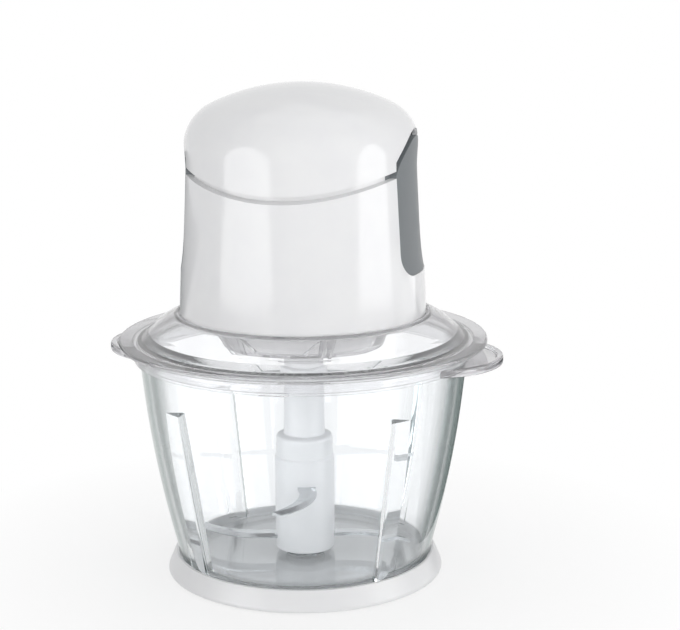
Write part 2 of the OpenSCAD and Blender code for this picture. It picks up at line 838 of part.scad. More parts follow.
module bottom_cover() {
    cover_r = house_r(house_z) - house_wall - fit_gap;
    head_r = screw_r + 1.8;
    color("white")
        difference() {
            union() {
                translate([0, 0, house_z]) cylinder(r = cover_r, h = cover_t);
                translate([0, 0, boss_z])
                    cylinder(r1 = boss_bottom_r, r2 = boss_top_r, h = boss_depth);
            }
            translate([0, 0, gear_floor_z]) cylinder(r = ring_gear_r + fit_gap, h = far);
            translate([0, 0, boss_z - lap]) cylinder(r = output_r + bush_wall, h = far);
            translate([0, 0, boss_z - lap])
                cylinder(r = output_r + 2 * bush_wall, h = seal_depth + lap);
            for (a = screw_angles)
                rotate([0, 0, a])
                    translate([screw_at_r, 0, house_z - lap]) {
                        cylinder(r = screw_r, h = cover_t + 2 * lap);
                        cylinder(r = head_r + fit_gap, h = cover_t / 2 + lap);
                    }
            for (side = [-1, 1])
                translate([side * motor_screw_x, 0, house_z - lap])
                    cylinder(r = motor_screw_r, h = far);
        }
}

// Outline of a grip's backing, behind the housing's wall and under the pressed cap
function grip_edge(inset) = concat(
    [for (z = [grip_z - ear_lap, seam_z]) [house_r(z) - house_wall - run_gap - inset, z]],
    arc([cap_bend_r, cap_bend_z - cap_travel - fit_gap],
        cap_shoulder_r - cap_wall - run_gap - inset, 0, 60, 8));
grip_top = cap_bend_z + cap_shoulder_r * 2 / 3;

module grip_backing() {
    low = grip_z - ear_lap - 1;
    intersection() {
        rotate_extrude($fn = 180)
            difference() {
                polygon(concat([[0, low + 1]], grip_edge(0), [[0, grip_top]]));
                polygon(concat([[0, low], [grip_edge(grip_wall)[0][0], low]], grip_edge(grip_wall),
                    [[0, grip_top + 1]]));
            }
        along_x(grip_cut_x, far) grip_outline(-ear_lap, -ear_lap);
    }
}

// Outer face of a grip: flatter than the housing and scooped between its ends
function pad_x(z) = shell_r(z) - pad_edge
    - grip_depth * (1 - pow(abs(z - pad_mid_z) / (pad_half + 1), 4));
module pad_face() {
    shift = pad_flat_r - house_top_r;
    low = grip_z - 1;
    high = pad_top + 1;
    translate([-shift, 0, 0])
        rotate_extrude($fn = 240)
            polygon(concat([[0, low]],
                [for (i = [0:pad_steps]) let (z = low + (high - low) * i / pad_steps)
                    [pad_x(min(max(z, grip_z), pad_top)) + shift, z]],
                [[0, high]]));
}

module grip_pad() {
    difference() {
        intersection() {
            along_x(grip_cut_x, far) grip_outline(fit_gap, arch_gap);
            pad_face();
        }
        rotate_extrude($fn = 180)
            polygon(concat([[0, grip_z - ear_lap]], grip_edge(grip_wall / 2), [[0, grip_top]]));
    }
}

module right_grip() {
    color("gray")
        union() {
            grip_backing();
            grip_pad();
        }
}

module left_grip() {
    mirror([1, 0, 0]) right_grip();
}

module press_cap() {
    post_r = 4;
    post_low = plunger_top + run_gap;
    leg_w = 7;
    leg_t = 2;
    hook_low = deck_z - run_gap - 3;
    low = seam_z - seam_dip;
    color("white")
        union() {
            difference() {
                rotate_extrude($fn = 180)
                    difference() {
                        polygon(cap_outline(0, low));
                        polygon(cap_outline(cap_wall, low - 1));
                    }
                below_seam(seam_gap);
                both_sides() along_x(grip_cut_x, far) grip_outline(0, 0);
            }
            intersection() {
                union() {
                    translate([0, 0, post_low]) cylinder(r = post_r, h = far);
                    both_sides()
                        translate([spring_x, 0, spring_high]) {
                            cylinder(r = spring_post_r, h = far);
                            difference() {
                                translate([0, 0, -4]) cylinder(r = spring_post_r, h = 4 + lap);
                                translate([0, 0, -5]) cylinder(r = spring_post_r - 1.4, h = 5);
                            }
                        }
                    for (turn = [0, 180])
                        rotate([0, 0, turn]) {
                            translate([-leg_w / 2, leg_y, hook_low]) cube([leg_w, leg_t, far]);
                            translate([-leg_w / 2, leg_y, hook_low]) cube([leg_w, leg_t + hook_y, 3]);
                        }
                }
                rotate_extrude($fn = 180) polygon(cap_outline(cap_wall / 2, hook_low - 1));
            }
        }
}

// A coil spring as one tube swept along a helix, six sides, eight rings a turn
module coil_spring(low, high) {
    sides = 6;
    rings = 8 * spring_turns;
    wire = spring_wire / 2;
    rise = high - low - spring_wire - 2 * fit_gap;
    pts = [for (i = [0:rings]) let (a = 360 * i / 8, z = low + wire + fit_gap + rise * i / rings)
        for (k = [0:sides - 1]) let (b = 360 * k / sides, r = spring_r + wire * cos(b))
            [r * cos(a), r * sin(a), z + wire * sin(b)]];
    skin = [for (i = [0:rings - 1], k = [0:sides - 1]) let (
            p = i * sides + k, q = i * sides + (k + 1) % sides)
        each [[p, p + sides, q], [q, p + sides, q + sides]]];
    ends = [for (k = [1:sides - 2])
        each [[0, k, k + 1], [rings * sides, rings * sides + k + 1, rings * sides + k]]];
    polyhedron(points = pts, faces = concat(skin, ends));
}
// Free space between a spring's turns
spring_space = (spring_high - spring_low - spring_wire) / spring_turns - spring_wire;
echo(spring_space = spring_space);

module cap_spring_left() {
    color("silver") translate([-spring_x, 0, 0]) coil_spring(spring_low, spring_high);
}

module cap_spring_right() {
    color("silver") translate([spring_x, 0, 0]) coil_spring(spring_low, spring_high);
}

// Switch

module switch_deck() {
    slot_w = 9;
    spigot_r = spring_r - spring_wire / 2 - 0.6;
    color("gainsboro")
        union() {
            difference() {
                translate([0, 0, deck_z]) cylinder(r = deck_r, h = deck_t);
                for (turn = [0, 180])
                    rotate([0, 0, turn])
                        translate([-slot_w / 2, leg_y - 1, deck_z - lap])
                            cube([slot_w, hook_y + 4.4, deck_t + 2 * lap]);
                for (x = [-motor_screw_x, motor_screw_x])
                    translate([x, 14, deck_z - lap]) cylinder(r = 3, h = deck_t + 2 * lap);
            }
            for (x = [-spring_x, spring_x])
                translate([x, 0, deck_top - lap]) cylinder(r = spigot_r, h = 4 + lap);
        }
}

module switch_body() {
    edge = 1;
    color("dimgray")
        difference() {
            translate([-switch_l / 2, -switch_w / 2, deck_top]) cube([switch_l, switch_w, switch_h]);
            translate([0, 0, plunger_top - plunger_l - cap_travel - run_gap])
                cylinder(r = plunger_r + bush_fit, h = far);
            for (x = [-switch_l / 2 + 3.5, switch_l / 2 - 3.5])
                translate([x, 0, deck_top + switch_h / 2])
                    rotate([90, 0, 0]) cylinder(r = edge + 0.4, h = far, center = true);
        }
}

module switch_plunger() {
    color("firebrick")
        translate([0, 0, plunger_top - plunger_l]) {
            cylinder(r = plunger_r, h = plunger_l - 0.5);
            translate([0, 0, plunger_l - 0.5]) cylinder(r1 = plunger_r, r2 = plunger_r - 0.5, h = 0.5);
        }
}

// Motor, fixed part

module motor_screw_holes(z, h) {
    for (x = [-motor_screw_x, motor_screw_x])
        translate([x, 0, z - lap]) cylinder(r = motor_screw_r, h = h + 2 * lap);
}

module lower_bracket() {
    hub = shaft_r + bush_wall + 1.6;
    color("darkgray")
        difference() {
            union() {
                translate([0, 0, plate_z]) cylinder(r = bracket_r, h = plate_t);
                translate([0, 0, plate_z]) cylinder(r = hub, h = bush_h);
                for (x = [-motor_screw_x, motor_screw_x])
                    translate([x, 0, plate_z]) cylinder(r = leg_r, h = core_z - plate_z);
            }
            translate([0, 0, plate_z - lap]) cylinder(r = shaft_r + bush_wall, h = far);
            motor_screw_holes(plate_z, core_z - plate_z);
            for (a = [60, 120, 240, 300])
                rotate([0, 0, a])
                    translate([bracket_r - 11, 0, plate_z - lap]) cylinder(r = 5, h = plate_t + 2 * lap);
        }
}

module upper_bracket() {
    hub = shaft_r + bush_wall + 1.6;
    bridge_w = 15;
    color("darkgray")
        difference() {
            union() {
                translate([-motor_screw_x - leg_r, -bridge_w / 2, bridge_z])
                    cube([2 * (motor_screw_x + leg_r), bridge_w, plate_t]);
                translate([-bridge_w / 2, -motor_screw_x, bridge_z])
                    cube([bridge_w, 2 * motor_screw_x, plate_t]);
                translate([0, 0, bridge_z]) cylinder(r = hub, h = bush_h);
                for (x = [-motor_screw_x, motor_screw_x])
                    translate([x, 0, core_top]) cylinder(r = leg_r, h = bridge_z + lap - core_top);
            }
            translate([0, 0, bridge_z - lap]) cylinder(r = shaft_r + bush_wall, h = far);
            motor_screw_holes(core_top, bridge_z + plate_t - core_top);
        }
}

module lower_bush() {
    color("peru") tube(shaft_r + bush_wall, shaft_r + bush_fit, plate_z, bush_h);
}

module upper_bush() {
    color("peru") tube(shaft_r + bush_wall, shaft_r + bush_fit, bridge_z, bush_h);
}

// A part of a ring about the axis, centred on the front or the rear
module ring_sector(r_in, r_out, span, z, h) {
    rotate([0, 0, 90 - span / 2])
        translate([0, 0, z])
            rotate_extrude(angle = span)
                translate([r_in, 0]) square([r_out - r_in, h]);
}

module field_coil(grow) {
    sides = 2 * grow * 2;
    difference() {
        ring_sector(coil_in_r - grow, coil_in_r + coil_d + grow, coil_span + sides,
            coil_z - grow, core_h + 2 * coil_end_h + 2 * grow);
        ring_sector(coil_in_r - 1, coil_in_r + coil_d + 1, pole_span - sides,
            core_z + grow - fit_gap, core_h - 2 * grow + 2 * fit_gap);
    }
}

module stator_core() {
    flat = stator_r - 1.5;
    color("slategray")
        difference() {
            intersection() {
                translate([0, 0, core_z]) cylinder(r = stator_r + 1, h = core_h);
                translate([-far / 2, -flat, core_z]) cube([far, 2 * flat, core_h]);
            }
            translate([0, 0, core_z - lap]) cylinder(r = stator_bore, h = core_h + 2 * lap);
            for (turn = [0, 180]) rotate([0, 0, turn]) field_coil(fit_gap);
            motor_screw_holes(core_z, core_h);
        }
}

module field_coil_front() {
    color("chocolate") rotate([0, 0, 180]) field_coil(0);
}

module field_coil_rear() {
    color("chocolate") field_coil(0);
}

module brush_holder(turn) {
    length = 13;
    wide = 7;
    high = 6.6;
    rotate([0, 0, turn])
        translate([0, commutator_r + 1.2, bridge_z - high])
            difference() {
                translate([-wide / 2, 0, 0]) cube([wide, length, high]);
                translate([-brush_w / 2 - fit_gap, -lap, brush_low - fit_gap])
                    cube([brush_w + 2 * fit_gap, length + 2 * lap, brush_h + 2 * fit_gap]);
            }
}
brush_w = 4.4;
brush_h = 4;
brush_low = 1.2;

module brush(turn) {
    rotate([0, 0, turn])
        translate([-brush_w / 2, commutator_r + fit_gap, bridge_z - 6.6 + brush_low])
            cube([brush_w, 11, brush_h]);
}

module brush_holder_front() {
    color("goldenrod") brush_holder(180);
}

module brush_holder_rear() {
    color("goldenrod") brush_holder(0);
}

module brush_front() {
    color("black") brush(180);
}

module brush_rear() {
    color("black") brush(0);
}

// Motor, turning part

module rotor_shaft() {
    color("silver")
        translate([0, 0, shaft_z]) cylinder(r = shaft_r, h = shaft_top - shaft_z);
}

rotor_slots = 12;
slot_w = 2.4;
slot_d = 6;

module rotor_core() {
    color("slategray")
        difference() {
            tube(rotor_r, shaft_r, core_z, core_h);
            for (i = [0:rotor_slots - 1])
                rotate([0, 0, 360 * i / rotor_slots])
                    translate([rotor_r - slot_d, -slot_w / 2, core_z - lap])
                        cube([slot_d + 2, slot_w, core_h + 2 * lap]);
        }
}

module rotor_windings() {
    bar_d = slot_d - 1.4;
    out_r = rotor_r - 1;
    color("chocolate")
        union() {
            for (z = [core_z - winding_h, core_top])
                tube(out_r, shaft_r + 1.5, z, winding_h);
            for (i = [0:rotor_slots - 1])
                rotate([0, 0, 360 * i / rotor_slots])
                    translate([out_r - bar_d, -slot_w / 2 + fit_gap, core_z - lap])
                        cube([bar_d - lap, slot_w - 2 * fit_gap, core_h + 2 * lap]);
        }
}

module commutator() {
    slit = 0.6;
    color("orange")
        difference() {
            tube(commutator_r, shaft_r, commutator_z, commutator_h);
            for (i = [0:rotor_slots - 1])
                rotate([0, 0, 360 * (i + 0.5) / rotor_slots])
                    translate([commutator_r - 1, -slit / 2, commutator_z + 1.6])
                        cube([3, slit, commutator_h]);
        }
}

module cooling_fan() {
    disc_t = 1.2;
    vane_t = 1;
    color("darkslategray")
        union() {
            tube(fan_r, shaft_r, fan_z, disc_t);
            tube(shaft_r + 2.4, shaft_r, fan_z, fan_h);
            for (i = [0:fan_blades - 1])
                rotate([0, 0, 360 * i / fan_blades])
                    translate([shaft_r + 4, -vane_t / 2, fan_z + disc_t - 0.2])
                        cube([fan_r - shaft_r - 4.6, vane_t, fan_h - disc_t + 0.2]);
        }
}

module sun_pinion() {
    color("goldenrod")
        difference() {
            translate([0, 0, planet_z])
                linear_extrude(planet_h) polygon(gear_points(sun_teeth, 0.9, 1.2, backlash / 2));
            translate([0, 0, planet_z - lap]) cylinder(r = shaft_r, h = far);
        }
}

// Reduction gear

module ring_gear() {
    color("ivory")
        translate([0, 0, gear_floor_z])
            difference() {
                cylinder(r = ring_gear_r, h = ring_gear_h);
                translate([0, 0, -lap])
                    linear_extrude(ring_gear_h + 2 * lap)
                        rotate([0, 0, 180 / ring_teeth])
                            polygon(gear_points(ring_teeth, 1.2, 0.8, -backlash / 2));
            }
}

module planet_carrier() {
    color("silver")
        difference() {
            tube(orbit_r + planet_pin_r + 2, output_r, carrier_z, carrier_t);
            for (i = [0:planet_count - 1])
                rotate([0, 0, 360 * i / planet_count])
                    translate([orbit_r, 0, carrier_z - lap])
                        cylinder(r = planet_pin_r, h = carrier_t + 2 * lap);
        }
}

module planet_pins() {
    color("silver")
        for (i = [0:planet_count - 1])
            rotate([0, 0, 360 * i / planet_count])
                translate([orbit_r, 0, carrier_z])
                    cylinder(r = planet_pin_r, h = planet_z + planet_h - carrier_z);
}

module planet_gear(i) {
    color("ivory")
        rotate([0, 0, 360 * i / planet_count])
            translate([orbit_r, 0, planet_z])
                difference() {
                    linear_extrude(planet_h)
                        rotate([0, 0, 180 / planet_teeth])
                            polygon(gear_points(planet_teeth, 0.9, 1.2, backlash / 2));
                    translate([0, 0, -lap])
                        cylinder(r = planet_pin_r + bush_fit, h = planet_h + 2 * lap);
                }
}

module planet_gear_1() {
    planet_gear(0);
}

module planet_gear_2() {
    planet_gear(1);
}

module planet_gear_3() {
    planet_gear(2);
}

// Drive to the spindle

module output_shaft() {
    color("silver")
        translate([0, 0, coupling_z + 2]) cylinder(r = output_r, h = carrier_top - coupling_z - 2);
}

module drive_coupling() {
    color("gray")
        difference() {
            translate([0, 0, coupling_z]) cylinder(r = coupling_r, h = coupling_top - coupling_z, $fn = 6);
            translate([0, 0, coupling_z + 2]) cylinder(r = output_r, h = far);
        }
}

module output_bush() {
    color("peru")
        tube(output_r + bush_wall, output_r + bush_fit, boss_z + seal_depth, boss_floor - seal_depth);
}

module shaft_seal() {
    color("dimgray")
        tube(output_r + 2 * bush_wall - fit_gap, output_r + run_gap, boss_z, seal_depth);
}

// Fasteners and inlet

module housing_screws() {
    head_r = screw_r + 1.8;
    head_h = cover_t / 2;
    color("silver")
        for (a = screw_angles)
            rotate([0, 0, a])
                translate([screw_at_r, 0, house_z]) {
                    cylinder(r = head_r, h = head_h);
                    cylinder(r = screw_r, h = cover_t + screw_l - 2 * lap);
                }
}

module motor_screws() {
    color("silver")
        for (x = [-motor_screw_x, motor_screw_x])
            translate([x, 0, house_z]) {
                length = bridge_z + plate_t - house_z;
                cylinder(r = motor_screw_r, h = length);
                translate([0, 0, length]) cylinder(r = motor_screw_r + 1.4, h = screw_head_h);
            }
}

module cord_gland() {
    body_r = inlet_r + inlet_wall;
    inside = 5;
    color("gray")
        translate([0, inlet_y, inlet_z])
            rotate([-90, 0, 0])
                difference() {
                    union() {
                        translate([0, 0, -house_wall - inside])
                            cylinder(r = body_r, h = house_wall + inside);
                        cylinder(r1 = body_r + inlet_flange, r2 = body_r + inlet_flange / 2,
                            h = inlet_flange_t);
                    }
                    translate([0, 0, -far / 2]) cylinder(r = inlet_r, h = far);
                }
}

base_ring();
foot_ring();
bowl();
bowl_pin();
blade_spindle();
lower_blade();
upper_blade();
lid();
lid_seal();
housing();
bottom_cover();
left_grip();
right_grip();
press_cap();
cap_spring_left();
cap_spring_right();
switch_deck();
switch_body();
switch_plunger();
lower_bracket();
upper_bracket();
lower_bush();
upper_bush();
stator_core();
field_coil_front();
field_coil_rear();
rotor_shaft();
rotor_core();
rotor_windings();
commutator();
cooling_fan();
sun_pinion();
brush_holder_front();
brush_holder_rear();
brush_front();
brush_rear();
ring_gear();
planet_carrier();
planet_pins();
planet_gear_1();
planet_gear_2();
planet_gear_3();
output_shaft();
drive_coupling();
output_bush();
shaft_seal();
housing_screws();
motor_screws();
cord_gland();
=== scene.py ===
"""Electric mini chopper in a white studio: smooth shells, clear mouldings and inner works."""
import logging
import math
from dataclasses import dataclass, field
from enum import Enum
from typing import Sequence

import bmesh
import bpy
from mathutils import Matrix, Vector


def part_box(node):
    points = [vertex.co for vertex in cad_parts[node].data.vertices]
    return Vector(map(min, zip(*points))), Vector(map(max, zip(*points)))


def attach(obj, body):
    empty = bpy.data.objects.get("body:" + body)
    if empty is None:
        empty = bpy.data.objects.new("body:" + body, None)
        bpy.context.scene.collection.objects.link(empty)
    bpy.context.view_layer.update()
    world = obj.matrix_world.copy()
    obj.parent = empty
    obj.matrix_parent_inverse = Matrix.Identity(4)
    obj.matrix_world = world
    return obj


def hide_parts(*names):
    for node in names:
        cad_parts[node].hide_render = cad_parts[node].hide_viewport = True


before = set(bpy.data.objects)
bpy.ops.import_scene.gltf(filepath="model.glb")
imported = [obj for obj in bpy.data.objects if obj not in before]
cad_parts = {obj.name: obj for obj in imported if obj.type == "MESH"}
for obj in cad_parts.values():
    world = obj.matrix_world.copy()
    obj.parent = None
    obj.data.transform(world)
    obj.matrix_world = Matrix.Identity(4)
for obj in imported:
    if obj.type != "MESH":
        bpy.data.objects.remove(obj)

LOG = logging.getLogger("chopper")
MM = 0.001
SENSOR_MM = 36.0
# How far a cutting tool reaches past what it cuts, in millimetres
PAST = 5.0
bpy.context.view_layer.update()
Outline = list[tuple[float, float]]


class Body(Enum):
    """The moving groups of the chopper that a piece can ride on."""

    BASE = "base"
    BOWL = "bowl_unit"
    BLADE = "blade"
    LID = "lid_unit"
    MOTOR = "motor_unit"
    CAP = "cap"


class Cut(Enum):
    """How one solid is combined with another."""

    TAKE_AWAY = "DIFFERENCE"
    ADD = "UNION"
    KEEP_COMMON = "INTERSECT"


class Side(Enum):
    """The chopper's two sides, as the sign of X."""

    LEFT = -1
    RIGHT = 1


class Panel(Enum):
    """The outline of a softbox, as its mirror image shows it."""

    SQUARE = "RECTANGLE"
    OVAL = "ELLIPSE"


def linear(code: str) -> tuple[float, float, float, float]:
    """Turns an sRGB hex colour into linear RGBA.

    Args:
        code: Six hex digits with a leading hash.

    Returns:
        The colour in linear light with an alpha of one.
    """
    parts = [int(code[i:i + 2], 16) / 255 for i in (1, 3, 5)]
    light = [c / 12.92 if c <= 0.04045 else ((c + 0.055) / 1.055) ** 2.4 for c in parts]
    return (light[0], light[1], light[2], 1.0)


def add_node(tree: bpy.types.NodeTree, kind: str, inputs: dict | None = None,
             links: dict | None = None, **settings: object) -> bpy.types.Node:
    """Adds one shader node with its values, links and settings.

    Args:
        tree: The node tree to add to.
        kind: Blender's name for the node type.
        inputs: Values by socket name or number.
        links: Output sockets by the input's name or number.
        **settings: Attributes of the node itself.

    Returns:
        The new node.
    """
    node = tree.nodes.new(kind)
    for key, value in settings.items():
        setattr(node, key, value)
    for key, value in (inputs or {}).items():
        node.inputs[key].default_value = value
    for key, socket in (links or {}).items():
        tree.links.new(socket, node.inputs[key])
    return node


def new_material(name: str) -> tuple[bpy.types.Material, bpy.types.NodeTree]:
    """Makes an empty node material.

    Args:
        name: The material's name.

    Returns:
        The material and its cleared node tree.
    """
    material = bpy.data.materials.new(name)
    material.use_nodes = True
    material.node_tree.nodes.clear()
    return material, material.node_tree


@dataclass(frozen=True)
class MouldedPlastic:
    """Opaque injection-moulded plastic: an even colour with a faint flow mottle and orange peel."""

    name: str
    colour: str
    shade: str
    roughness: float
    spread: float = 0.03
    ior: float = 1.53
    mottle_mm: float = 14.0
    peel_mm: float = 1.6
    peel: float = 0.02

    def build(self) -> bpy.types.Material:
        """Makes the material.

        Returns:
            The finished material.
        """
        material, tree = new_material(self.name)
        place = add_node(tree, "ShaderNodeTexCoord")
        # Melt flow leaves cloudy patches a centimetre or so across, just short of invisible
        flow = add_node(tree, "ShaderNodeTexNoise", {"Scale": 1 / (self.mottle_mm * MM), "Detail": 3.0},
                        {"Vector": place.outputs["Object"]})
        tint = add_node(tree, "ShaderNodeValToRGB", None, {"Fac": flow.outputs["Fac"]})
        tint.color_ramp.elements[0].position = 0.3
        tint.color_ramp.elements[0].color = linear(self.shade)
        tint.color_ramp.elements[1].position = 0.7
        tint.color_ramp.elements[1].color = linear(self.colour)
        gloss = add_node(tree, "ShaderNodeMapRange",
                         {"From Min": 0.3, "From Max": 0.7, "To Min": self.roughness - self.spread,
                          "To Max": self.roughness + self.spread}, {"Value": flow.outputs["Fac"]})
        # Orange peel of the polished mould, drawn a little coarser than life so that it shows
        peel = add_node(tree, "ShaderNodeTexNoise", {"Scale": 1 / (self.peel_mm * MM), "Detail": 2.0},
                        {"Vector": place.outputs["Object"]})
        bump = add_node(tree, "ShaderNodeBump", {"Strength": self.peel, "Distance": 0.2 * MM},
                        {"Height": peel.outputs["Fac"]})
        skin = add_node(tree, "ShaderNodeBsdfPrincipled", {"IOR": self.ior},
                        {"Base Color": tint.outputs["Color"], "Roughness": gloss.outputs["Result"],
                         "Normal": bump.outputs["Normal"]})
        add_node(tree, "ShaderNodeOutputMaterial", None, {"Surface": skin.outputs["BSDF"]})
        return material


@dataclass(frozen=True)
class ClearMoulding:
    """See-through solid: it bends light, mirrors at grazing angles, darkens where it is thick and carries
    painted shade where it is seen edge-on.
    """

    name: str
    colour: str
    depth_colour: str
    density: float
    roughness: float
    ior: float
    ripple_mm: float
    ripple: float
    edge_tint_and_shade: str
    edge_start: float
    edge_span: float
    upright_only: bool
    clarity: float = 1.0

    def build(self) -> bpy.types.Material:
        """Makes the material.

        Returns:
            The finished material.
        """
        material, tree = new_material(self.name)
        place = add_node(tree, "ShaderNodeTexCoord")
        # The flow of the melt leaves a slow waviness that makes reflections swim a little
        wave = add_node(tree, "ShaderNodeTexNoise", {"Scale": 1 / (self.ripple_mm * MM), "Detail": 1.0},
                        {"Vector": place.outputs["Object"]})
        bump = add_node(tree, "ShaderNodeBump", {"Strength": self.ripple, "Distance": 0.5 * MM},
                        {"Height": wave.outputs["Fac"]})
        # Seen edge-on, light has travelled far along the wall and comes out tinted; the edge colour is drawn
        # darker than that, as painted shade for the dark surroundings that the wall mirrors at its edges
        edge = add_node(tree, "ShaderNodeLayerWeight", {"Blend": 0.5}).outputs["Facing"]
        if self.upright_only:
            edge = self.on_walls(tree, place.outputs["Normal"], edge)
        tint = add_node(tree, "ShaderNodeValToRGB", None, {"Fac": edge})
        tint.color_ramp.elements[0].position = self.edge_start
        tint.color_ramp.elements[0].color = linear(self.colour)
        tint.color_ramp.elements[1].position = self.edge_start + self.edge_span
        tint.color_ramp.elements[1].color = linear(self.edge_tint_and_shade)
        skin = add_node(tree, "ShaderNodeBsdfPrincipled",
                        {"Roughness": self.roughness, "IOR": self.ior, "Transmission Weight": self.clarity},
                        {"Base Color": tint.outputs["Color"], "Normal": bump.outputs["Normal"]})
        # Lamps shine through, as they do through a real clear wall
        path = add_node(tree, "ShaderNodeLightPath")
        gap = add_node(tree, "ShaderNodeBsdfTransparent")
        lit = add_node(tree, "ShaderNodeMixShader", None,
                       {0: path.outputs["Is Shadow Ray"], 1: skin.outputs["BSDF"], 2: gap.outputs["BSDF"]})
        depth = add_node(tree, "ShaderNodeVolumeAbsorption",
                         {"Color": linear(self.depth_colour), "Density": self.density})
        add_node(tree, "ShaderNodeOutputMaterial", None,
                 {"Surface": lit.outputs["Shader"], "Volume": depth.outputs["Volume"]})
        return material

    def on_walls(self, tree: bpy.types.NodeTree, normal: bpy.types.NodeSocket,
                 edge: bpy.types.NodeSocket) -> bpy.types.NodeSocket:
        """Keeps the edge tint and its painted shade to upright walls, so that floors and ledges stay clear.

        Args:
            tree: The node tree to add to.
            normal: The surface's normal in the piece's own frame.
            edge: How far the surface is seen edge-on.

        Returns:
            The same measure, which falls to zero on level surfaces.
        """
        level = add_node(tree, "ShaderNodeVectorMath", {1: (0, 0, 1)}, {0: normal}, operation="DOT_PRODUCT")
        square = add_node(tree, "ShaderNodeMath", None,
                          {0: level.outputs["Value"], 1: level.outputs["Value"]}, operation="MULTIPLY")
        wall = add_node(tree, "ShaderNodeMath", {0: 1.0}, {1: square.outputs[0]}, operation="SUBTRACT")
        return add_node(tree, "ShaderNodeMath", None, {0: edge, 1: wall.outputs[0]},
                        operation="MULTIPLY").outputs[0]


@dataclass(frozen=True)
class WorkedMetal:
    """Metal with fine marks from grinding, turning or winding along one direction."""

    name: str
    colour: str
    shade: str
    roughness: float
    mark_mm: tuple[float, float, float]
    mark: float = 0.08

    def build(self) -> bpy.types.Material:
        """Makes the material.

        Returns:
            The finished material.
        """
        material, tree = new_material(self.name)
        place = add_node(tree, "ShaderNodeTexCoord")
        lay = add_node(tree, "ShaderNodeMapping", {"Scale": [1 / (s * MM) for s in self.mark_mm]},
                       {"Vector": place.outputs["Object"]})
        # Tool marks are long one way and fine the other; drawn coarser than life so that they show
        marks = add_node(tree, "ShaderNodeTexNoise", {"Scale": 1.0, "Detail": 4.0},
                         {"Vector": lay.outputs["Vector"]})
        tint = add_node(tree, "ShaderNodeValToRGB", None, {"Fac": marks.outputs["Fac"]})
        tint.color_ramp.elements[0].position = 0.35
        tint.color_ramp.elements[0].color = linear(self.shade)
        tint.color_ramp.elements[1].position = 0.65
        tint.color_ramp.elements[1].color = linear(self.colour)
        gloss = add_node(tree, "ShaderNodeMapRange",
                         {"From Min": 0.3, "From Max": 0.7, "To Min": self.roughness * 0.8,
                          "To Max": self.roughness * 1.2}, {"Value": marks.outputs["Fac"]})
        bump = add_node(tree, "ShaderNodeBump", {"Strength": self.mark, "Distance": 0.1 * MM},
                        {"Height": marks.outputs["Fac"]})
        skin = add_node(tree, "ShaderNodeBsdfPrincipled", {"Metallic": 1.0},
                        {"Base Color": tint.outputs["Color"], "Roughness": gloss.outputs["Result"],
                         "Normal": bump.outputs["Normal"]})
        add_node(tree, "ShaderNodeOutputMaterial", None, {"Surface": skin.outputs["BSDF"]})
        return material


Finish = MouldedPlastic | ClearMoulding | WorkedMetal

# Gloss ABS from a polished mould: mirror-like highlights over an even white
WHITE_ABS = MouldedPlastic("white_abs_polished", "#F1F1F1", "#EEEEEF", 0.13, 0.02)
# The same resin from a plainer mould, a shade greyer
BASE_ABS = MouldedPlastic("white_abs_base", "#ECECEC", "#EAEAEB", 0.32, 0.012)
# Painted light: the boss that shows through the lid is drawn a brighter white than the housing, to make up
# for the shade that falls on it under the housing
BOSS_ABS_PAINTED_LIGHT = MouldedPlastic("white_abs_boss_painted_light", "#F9F9F9", "#F6F6F6", 0.2, 0.03)
# Natural polypropylene: softly glossy, slightly blue
SPINDLE_PP = MouldedPlastic("polypropylene_spindle", "#E1E2E4", "#DBDDDF", 0.32, 0.04)
# Soft-touch elastomer: a dry grey with a spark-eroded grain that breaks up reflections
GRIP_TPE = MouldedPlastic("soft_grip_elastomer", "#73787B", "#6C7174", 0.42, 0.05, 1.5, 9.0, 0.5, 0.12)
BLACK_RUBBER = MouldedPlastic("moulded_black_rubber", "#2A2A2B", "#232324", 0.6, 0.06, 1.5, 8.0, 0.6, 0.15)
PALE_SILICONE = MouldedPlastic("moulded_silicone", "#D9DBDC", "#D2D5D6", 0.45, 0.05, 1.43, 8.0, 0.8, 0.06)
BLACK_PBT = MouldedPlastic("glass_filled_pbt", "#26272A", "#1F2022", 0.5, 0.06, 1.57, 5.0, 0.5, 0.12)
RED_PBT = MouldedPlastic("red_pbt", "#A42A22", "#98241D", 0.35, 0.05, 1.57, 4.0, 0.6, 0.06)
GEAR_POM = MouldedPlastic("acetal_gear", "#E4E0D2", "#DCD7C7", 0.38, 0.05, 1.48, 5.0, 0.6, 0.05)
CARBON = MouldedPlastic("pressed_carbon", "#2B2B2D", "#1D1D1E", 0.7, 0.05, 1.6, 1.2, 0.3, 0.2)
# Pressed soda-lime glass: a green cast that gathers at the edges, drawn darker there as painted shade
BOWL_GLASS = ClearMoulding("pressed_soda_lime_glass", "#FDFEFF", "#C2CBCC", 12.0, 0.0, 1.42, 45.0, 0.02,
                           "#566461", 0.5, 0.25, True)
# Clear SAN from a polished mould: colourless, with a lilac grey in thick places and a painted grey towards
# its edges for the surroundings that it mirrors
LID_SAN = ClearMoulding("clear_san_moulding", "#F9F9FA", "#CFCDD2", 8.0, 0.0, 1.42, 30.0, 0.015,
                        "#A5A4A7", 0.62, 0.12, False, 0.9)
# Cold-rolled blade steel with grinding marks along the blade
BLADE_STEEL = WorkedMetal("ground_blade_steel", "#D3D5D7", "#BFC2C5", 0.22, (9.0, 0.5, 0.5))
TURNED_STEEL = WorkedMetal("turned_steel", "#C9CBCE", "#B4B7BA", 0.25, (3.0, 3.0, 0.4))
LAMINATION = WorkedMetal("stacked_laminations", "#7F8388", "#63676C", 0.45, (12.0, 12.0, 0.9), 0.3)
COPPER_WIRE = WorkedMetal("lacquered_copper_winding", "#B4643A", "#8E4826", 0.35, (10.0, 10.0, 0.8), 0.4)
BUSH_BRONZE = WorkedMetal("sintered_bronze", "#B08D57", "#997845", 0.5, (0.6, 0.6, 0.6), 0.1)

